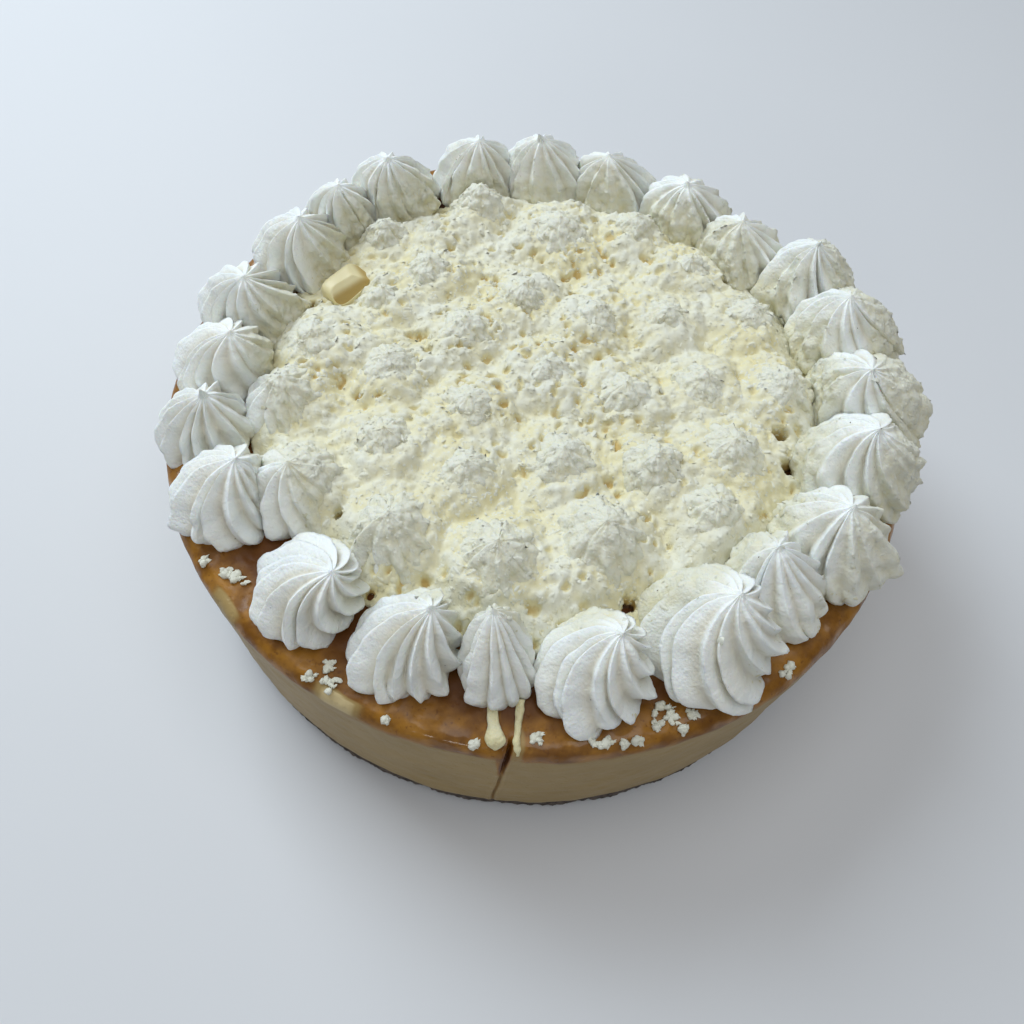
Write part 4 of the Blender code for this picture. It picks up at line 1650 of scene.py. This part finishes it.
        # The side is browned in a band beside the cut, from the top to 0.42 of the way down.
        cut_band_half = 3.4 * (1.0 - low_share / 0.42)
        cut_band = smooth_step(0.0, 1.2, cut_band_half - np.abs(beside + 0.6)) * (low_share < 0.42)
        brown = np.maximum(brown, 1.15 * cut_band)
        smear = smooth_step(0.6, 1.2, beside) * (1.0 - smooth_step(3.0, 4.6, beside + ragged))
        distance = np.hypot(rings[..., 0], rings[..., 1])
        brown = brown * (1.0 - 0.75 * smear * smooth_step(104.0, 110.0, distance))
        angle = np.degrees(np.arctan2(rings[..., 1], rings[..., 0]))
        band = smooth_step(111.4, 112.6, distance + 0.5 * ragged)
        band = band * smooth_step(0.10, 0.06, low_share)
        for middle, half, paleness in self.scrapes:
            scrape = np.exp(-(((angle - middle) / half) ** 4)) * band
            brown = brown * (1.0 - np.clip(1.2 * scrape, 0.0, 1.0)) - paleness * scrape
        # Painted shade on the top near the swirls, which also stands for deeper browning there.
        swirl_shade_and_browning = smooth_step(112.0, 100.0, distance) * (low_share < 0.1)
        # Painted shade in the upper part of the slit of the cut.
        slit_shade = smooth_step(1.5, 0.5, np.abs(beside + 0.3)) * smooth_step(0.02, 0.06, low_share)
        slit_shade = slit_shade * smooth_step(0.40, 0.30, low_share)
        # A thin line of painted shade marks the nearly closed slit lower down.
        thin = 0.45 * smooth_step(0.8, 0.2, np.abs(beside)) * (low_share >= 0.3)
        # The cut's V is darkened as painted shade as well.
        return brown + 0.35 * vee * brown + 0.75 * slit_shade + thin + 0.8 * swirl_shade_and_browning * brown

    def build(self, material: bpy.types.Material) -> None:
        """Builds the filling.

        Args:
            material: the baked cheese.
        """
        dress(self.skin().into_object("baked_filling", material), Slot.FILLING, "cheese_filling")


@dataclass
class CrustTrimmings:
    """Flakes of grated chocolate and the cream drips on the browned edge.

    Attributes:
        sizes: the cake's sizes.
        lumps: number of soft lumps in a cluster, and of shavings.
        lump_size: width of a middling lump in mm.
        shaving_size: length of a middling shaving in mm.
        uneven: layers of the drips' unevenness.
        flakes: clock angle in degrees, distance from the middle and spread of each cluster, in mm.
    """

    sizes: CakeSizes
    lumps: int = 10
    lump_size: float = 1.35
    shaving_size: float = 1.9
    uneven: tuple = ((0.34, 2.6, 73), (0.20, 1.1, 74))
    flakes: tuple = (
        (-142, 112, 1.4), (-138, 109, 2.0), (-136.5, 106.5, 2.2), (-118, 112.5, 1.8), (-115.5, 111, 2.0),
        (-117, 107, 1.5), (-112, 107, 0.9), (-87, 110, 1.6), (-80, 111, 1.5), (-78, 112, 1.3),
        (-76, 113, 0.8), (-74, 113, 1.0), (-70, 106, 1.8), (-71, 110, 1.7), (-69, 109, 1.4),
        (-66, 110, 0.9), (-68, 113, 0.7), (-51, 112, 1.8), (-17, 110, 1.6), (-95, 113, 0.5),
        (-106.5, 113, 0.4),
    )

    def clusters(self, material: bpy.types.Material) -> None:
        """Builds the flakes as small clusters of soft lumps with a few shavings.

        Args:
            material: the grated chocolate.
        """
        scatter = Scatter(np.random.default_rng(71))
        each = self.lumps
        level = self.sizes.top + 0.3
        spots = np.array([polar(angle, distance, level) for angle, distance, _ in self.flakes])
        spread = np.array([size for _, _, size in self.flakes])
        loose = scatter.rng.normal(size=(len(spots), each, 2)) * 0.60 * spread[:, None, None]
        places = np.repeat(spots[:, None], each, axis=1)
        places[..., :2] += loose
        places[..., 2] -= 0.5 * np.clip(np.hypot(places[..., 0], places[..., 1]) - 112.0, 0.0, 3.0) ** 1.5
        places = places.reshape(-1, 3)
        up = np.tile([0.0, 0.0, 1.0], (len(places), 1))
        beside = np.array([0.3, 0.2, 0.2])
        for name, skin in (
            ("crust_lumps", scatter.lumps(places, self.lump_size)),
            ("crust_shavings", scatter.shavings(places + beside, up, self.shaving_size, tilt=0.35)),
        ):
            scatter.tone_and_shade(skin, scatter.rng.uniform(-0.3, 0.15, len(places)))
            dress(skin.into_object(name, material), Slot.GRATED)

    def drip(
        self, name: str, line: np.ndarray, widths: np.ndarray, flat: float, material: bpy.types.Material
    ) -> None:
        """One drip: rings of an uneven oval carried along a line.

        Args:
            name: the piece's name.
            line: points in mm from the swirl down to the end.
            widths: width at each point in mm.
            flat: height of the oval as a share of its width.
            material: the cream.
        """
        rows = np.linspace(0.0, len(line) - 1.0, 34)
        index = np.arange(len(line))
        columns = [*line.T, widths]
        smooth = np.stack([np.interp(rows, index, column) for column in columns], axis=1)
        for _ in range(8):
            smooth[1:-1] = 0.25 * smooth[:-2] + 0.5 * smooth[1:-1] + 0.25 * smooth[2:]
        smooth, wide = smooth[:, :3], smooth[:, 3]
        run = np.gradient(smooth, axis=0)
        run /= np.linalg.norm(run, axis=1, keepdims=True)
        side = np.cross(run, [0.0, 0.0, 1.0])
        side /= np.linalg.norm(side, axis=1, keepdims=True)
        rise = np.cross(side, run)
        turn = np.linspace(0.0, 2.0 * math.pi, 24, endpoint=False)[None, :, None]
        reach = 0.5 * wide[:, None, None]
        rings = smooth[:, None] - side[:, None] * np.cos(turn) * reach
        rings = rings + rise[:, None] * np.sin(turn) * reach * flat
        uneven = layered(soft_noise, rings, self.uneven)
        rings = rings + uneven[..., None] * (rise[:, None] - 0.8 * np.cos(turn) * side[:, None])
        skin = closed_skin(rings, smooth[0], smooth[-1])
        skin.values["dust"] = np.full(len(skin.points), 0.7)
        skin.values["tone_and_shade"] = 1.05 + 0.5 * soft_noise(skin.points, 2.4, 75)
        skin.values["groove_shade"] = np.zeros(len(skin.points))
        dress(skin.into_object(name, material), Slot.CREAM)

    def build(self, grated: bpy.types.Material, cream: bpy.types.Material) -> None:
        """Builds the flakes and the two drips beside the cut.

        Args:
            grated: the grated chocolate.
            cream: the whipped cream.
        """
        self.clusters(grated)
        top = self.sizes.top
        drop = np.array([
            [-6.2, -101.5, top + 2.4], [-6.0, -104.5, top + 1.2], [-5.4, -107.0, top + 0.7],
            [-4.9, -109.0, top + 0.8], [-4.7, -110.6, top + 0.8], [-4.6, -112.0, top + 0.5],
            [-4.5, -113.0, top + 0.1], [-4.5, -113.6, top - 0.4],
        ])
        self.drip("cream_drop", drop, np.array([3.0, 2.4, 2.3, 3.8, 5.4, 5.2, 3.2, 0.3]), 0.62, cream)
        streak = np.array([
            [1.0, -101.0, top + 2.0], [0.9, -104.5, top + 0.8], [0.8, -108.0, top + 0.4],
            [0.6, -110.8, top + 0.2], [1.0, -112.9, top - 0.6], [1.3, -114.2, top - 1.8],
        ])
        self.drip("cream_streak", streak, np.array([2.6, 2.0, 1.6, 2.0, 2.4, 0.5]), 0.7, cream)


@dataclass
class BiscuitBase:
    """The dark biscuit layer with its crumbly side.

    Attributes:
        sizes: the cake's sizes.
        inset: how far its side stands in from the filling's, in mm.
        crumbs: layers of crumbs on its side.
        waves: layers of long waves on its side.
    """

    sizes: CakeSizes
    inset: float = 0.8
    crumbs: tuple = ((0.9, 2.6, 81), (0.5, 1.3, 84))
    waves: tuple = ((0.4, 8.0, 87),)

    def build(self, material: bpy.types.Material) -> None:
        """Builds the base: a turned profile whose side is pushed in and out by crumbs.

        Args:
            material: the biscuit.
        """
        radius = self.sizes.radius - self.inset
        top = self.sizes.base - 0.2
        wall = np.linspace(0.0, 1.0, 18)
        swell = 0.3 * np.sin(math.pi * wall)
        side = np.stack([radius - 0.9 * np.exp(-wall * 9.0) + swell, wall * top], axis=1)
        inward = np.array([[60.0, 0.0], [radius - 6.0, 0.0], [radius - 2.0, 0.0]])
        shelf = np.array([[radius - 1.5, top], [radius - 6.0, top], [60.0, top]])
        profile = np.concatenate([inward, side, shelf])
        turn = np.linspace(0.0, 2.0 * math.pi, 900, endpoint=False)
        ways = np.stack([np.cos(turn), np.sin(turn), np.zeros_like(turn)], axis=1)
        rings = profile[:, None, :1] * ways[None] + profile[:, None, 1:] * np.array([0.0, 0.0, 1.0])
        rough = layered(crumb_noise, rings, self.crumbs) - 0.7 + layered(soft_noise, rings, self.waves)
        on_side = smooth_step(radius - 3.0, radius - 1.0, profile[:, :1])
        rings = rings + ways[None] * (rough * on_side)[..., None]
        skin = closed_skin(rings, np.zeros(3), np.array([0.0, 0.0, top]))
        dress(skin.into_object("biscuit_crumb", material), Slot.BISCUIT, "biscuit_base")


@dataclass
class WhiteChocolateChunk:
    """The pale broken piece between the swirls at the left.

    Attributes:
        sizes: the cake's sizes.
        angle: clock angle in degrees.
        distance: distance from the middle in mm.
        turn: how far its long side is turned from the X axis, in degrees.
        size: length, width and height in mm.
        power: how square its edges are: 2 gives a ball, and a high power a box.
    """

    sizes: CakeSizes
    angle: float = 154.0
    distance: float = 73.0
    turn: float = 55.0
    size: tuple = (16.5, 10.0, 10.0)
    power: float = 4.6

    def build(self, material: bpy.types.Material) -> None:
        """Builds the chunk: a ball squared off by the power, with a long slope and a chip cut off it.

        A point of the ball is divided by the root of the sum of its coordinates' powers. The two planes
        lower the points above them, and the cut parts are painted with shade, more of it further down.

        Args:
            material: the pale chocolate.
        """
        ball = ball_rings(40, 72)
        boxy = ball / np.sum(np.abs(ball) ** self.power, axis=-1, keepdims=True) ** (1.0 / self.power)
        slope = 1.12 + 0.95 * boxy[..., 1] + 0.18 * boxy[..., 0]
        chip = 1.30 - 0.95 * boxy[..., 0] + 0.20 * boxy[..., 1]
        cut = np.minimum(boxy[..., 2], np.minimum(slope, chip))
        # Painted shade on the cut faces, stronger lower down; these faces also get less of the noise.
        broken = smooth_step(0.0, 0.2, boxy[..., 2] - cut) * smooth_step(0.95, 0.35, cut)
        boxy[..., 2] = cut
        half = 0.5 * np.array(self.size)
        local = boxy * half
        local = local + (0.25 * soft_noise(local, 5.0, 91) * (1.0 - broken))[..., None] * ball
        spin = math.radians(self.turn)
        cosine, sine = math.cos(spin), math.sin(spin)
        matrix = np.array([[cosine, sine, 0.0], [-sine, cosine, 0.0], [0.0, 0.0, 1.0]])
        centre = polar(self.angle, self.distance, self.sizes.top + half[2] + 0.3)
        low = centre - [0.0, 0.0, half[2]]
        skin = closed_skin(centre + local @ matrix, low, centre + local[-1].mean(axis=0))
        skin.values["broken"] = np.concatenate([broken.ravel(), [0.0, broken[-1].mean()]])
        dress(skin.into_object("pale_chunk", material), Slot.CHUNK, "white_chocolate_chunk")


@dataclass
class VanillaSeeds:
    """Tiny dark seeds that show in the cream.

    Attributes:
        count: how many.
        scale: width of a middling seed in mm.
    """

    count: int = 130
    scale: float = 0.42

    def build(self, material: bpy.types.Material, cream: CreamPiping) -> None:
        """Sets the seeds into the cream's surface.

        Args:
            material: the seeds' finish.
            cream: the swirls, already built.
        """
        scatter = Scatter(np.random.default_rng(97))
        covers = [1.0 - 0.6 * skin.values["dust"] for skin in cream.skins]
        places, normals = scatter.seats(cream.skins, covers, self.count)
        seeds = scatter.crumbs(places, normals, self.scale)
        dress(seeds.into_object("vanilla_seeds", material), Slot.CREAM)


@dataclass(frozen=True)
class Studio:
    """Camera, floor and lights.

    Attributes:
        elevation: how high the camera looks down from, in degrees.
        roll: how far the camera is tipped, in degrees.
        place: where the camera stands, in mm.
        focal: focal length in image widths of 1024 points.
    """

    elevation: float = 59.724
    roll: float = 4.645
    place: tuple = (-5.02, -161.95, 265.24)
    focal: float = 798.7

    def camera(self) -> None:
        """Makes the camera of the photo: level axes tipped by the roll."""
        data = bpy.data.cameras.new("camera")
        data.sensor_width = 36.0
        data.lens = self.focal / 1024.0 * data.sensor_width
        data.clip_start, data.clip_end = 0.01, 20.0
        camera = bpy.data.objects.new("camera", data)
        bpy.context.scene.collection.objects.link(camera)
        tilt, roll = math.radians(self.elevation), math.radians(self.roll)
        back = np.array([0.0, -math.cos(tilt), math.sin(tilt)])
        right = np.array([1.0, 0.0, 0.0])
        up = np.cross(back, right)
        matrix = np.eye(4)
        matrix[:3, 0] = math.cos(roll) * right + math.sin(roll) * up
        matrix[:3, 1] = math.cos(roll) * up - math.sin(roll) * right
        matrix[:3, 2] = back
        matrix[:3, 3] = np.array(self.place) * MM
        camera.matrix_world = matrix.T
        bpy.context.scene.camera = camera

    def lamp(self, name: str, place: tuple, size: float, power: float, colour: tuple) -> None:
        """Adds a square soft light that faces the cake.

        Args:
            name: the light's name.
            place: where it hangs, in metres.
            size: its side in metres.
            power: its power in watts.
            colour: its colour.
        """
        data = bpy.data.lights.new(name, "AREA")
        data.size, data.energy, data.color = size, power, colour
        lamp = bpy.data.objects.new(name, data)
        bpy.context.scene.collection.objects.link(lamp)
        spot = np.array(place)
        back = spot - np.array([0.0, 0.0, 0.06])
        back = back / np.linalg.norm(back)
        right = np.cross([0.0, 0.0, 1.0], back)
        right = right / np.linalg.norm(right)
        matrix = np.eye(4)
        matrix[:3, 0], matrix[:3, 1], matrix[:3, 2] = right, np.cross(back, right), back
        matrix[:3, 3] = spot
        lamp.matrix_world = matrix.T

    def build(self, floor_finish: bpy.types.Material) -> None:
        """Builds the camera, the floor, the lights and the sky.

        Args:
            floor_finish: the floor's paint.
        """
        self.camera()
        x, y = disc_places(24, 2500.0)
        floor = disc_skin(np.stack([x, y, 0.0 * x], axis=-1), -20.0)
        stage = floor.into_object("floor", floor_finish)
        self.lamp("window", (-0.75, 0.75, 1.05), size=0.80, power=16.5, colour=(0.82, 0.92, 1.0))
        self.lamp("ceiling", (0.10, -0.10, 1.30), size=1.20, power=7.0, colour=(0.97, 0.985, 1.0))
        self.lamp("front glint", (-0.25, -1.10, 0.60), size=0.14, power=0.6, colour=(1.0, 0.97, 0.92))
        world = bpy.data.worlds.new("soft sky")
        bpy.context.scene.world = world
        world.use_nodes = True
        sky = world.node_tree.nodes["Background"]
        sky.inputs["Color"].default_value = (0.95, 0.98, 1.0, 1.0)
        sky.inputs["Strength"].default_value = 0.21
        bpy.context.scene.view_settings.view_transform = "Standard"


def main() -> None:
    """Builds the cake part by part."""
    logging.basicConfig(level=logging.INFO, format="%(message)s")
    shared = SharedGroups()
    sizes = CakeSizes.from_frame()
    whipped = WhippedCream().make(shared)
    grated = GratedChocolateFinish().make(shared)
    cheese = BakedCheese().make(shared)
    biscuit = DarkBiscuit().make(shared)
    chocolate = PaleChocolate().make(shared)
    seeds = VanillaSeed().make(shared)
    paint = FloorPaint().make(shared)

    BiscuitBase(sizes).build(biscuit)
    CheeseFilling(sizes).build(cheese)
    cream = CreamPiping(sizes, Dusting())
    cream.build(whipped)
    GratedChocolate(sizes).build(grated, cream)
    CrustTrimmings(sizes).build(grated, whipped)
    WhiteChocolateChunk(sizes).build(chocolate)
    VanillaSeeds().build(seeds, cream)
    Studio().build(paint)


if __name__ == "__main__":
    main()
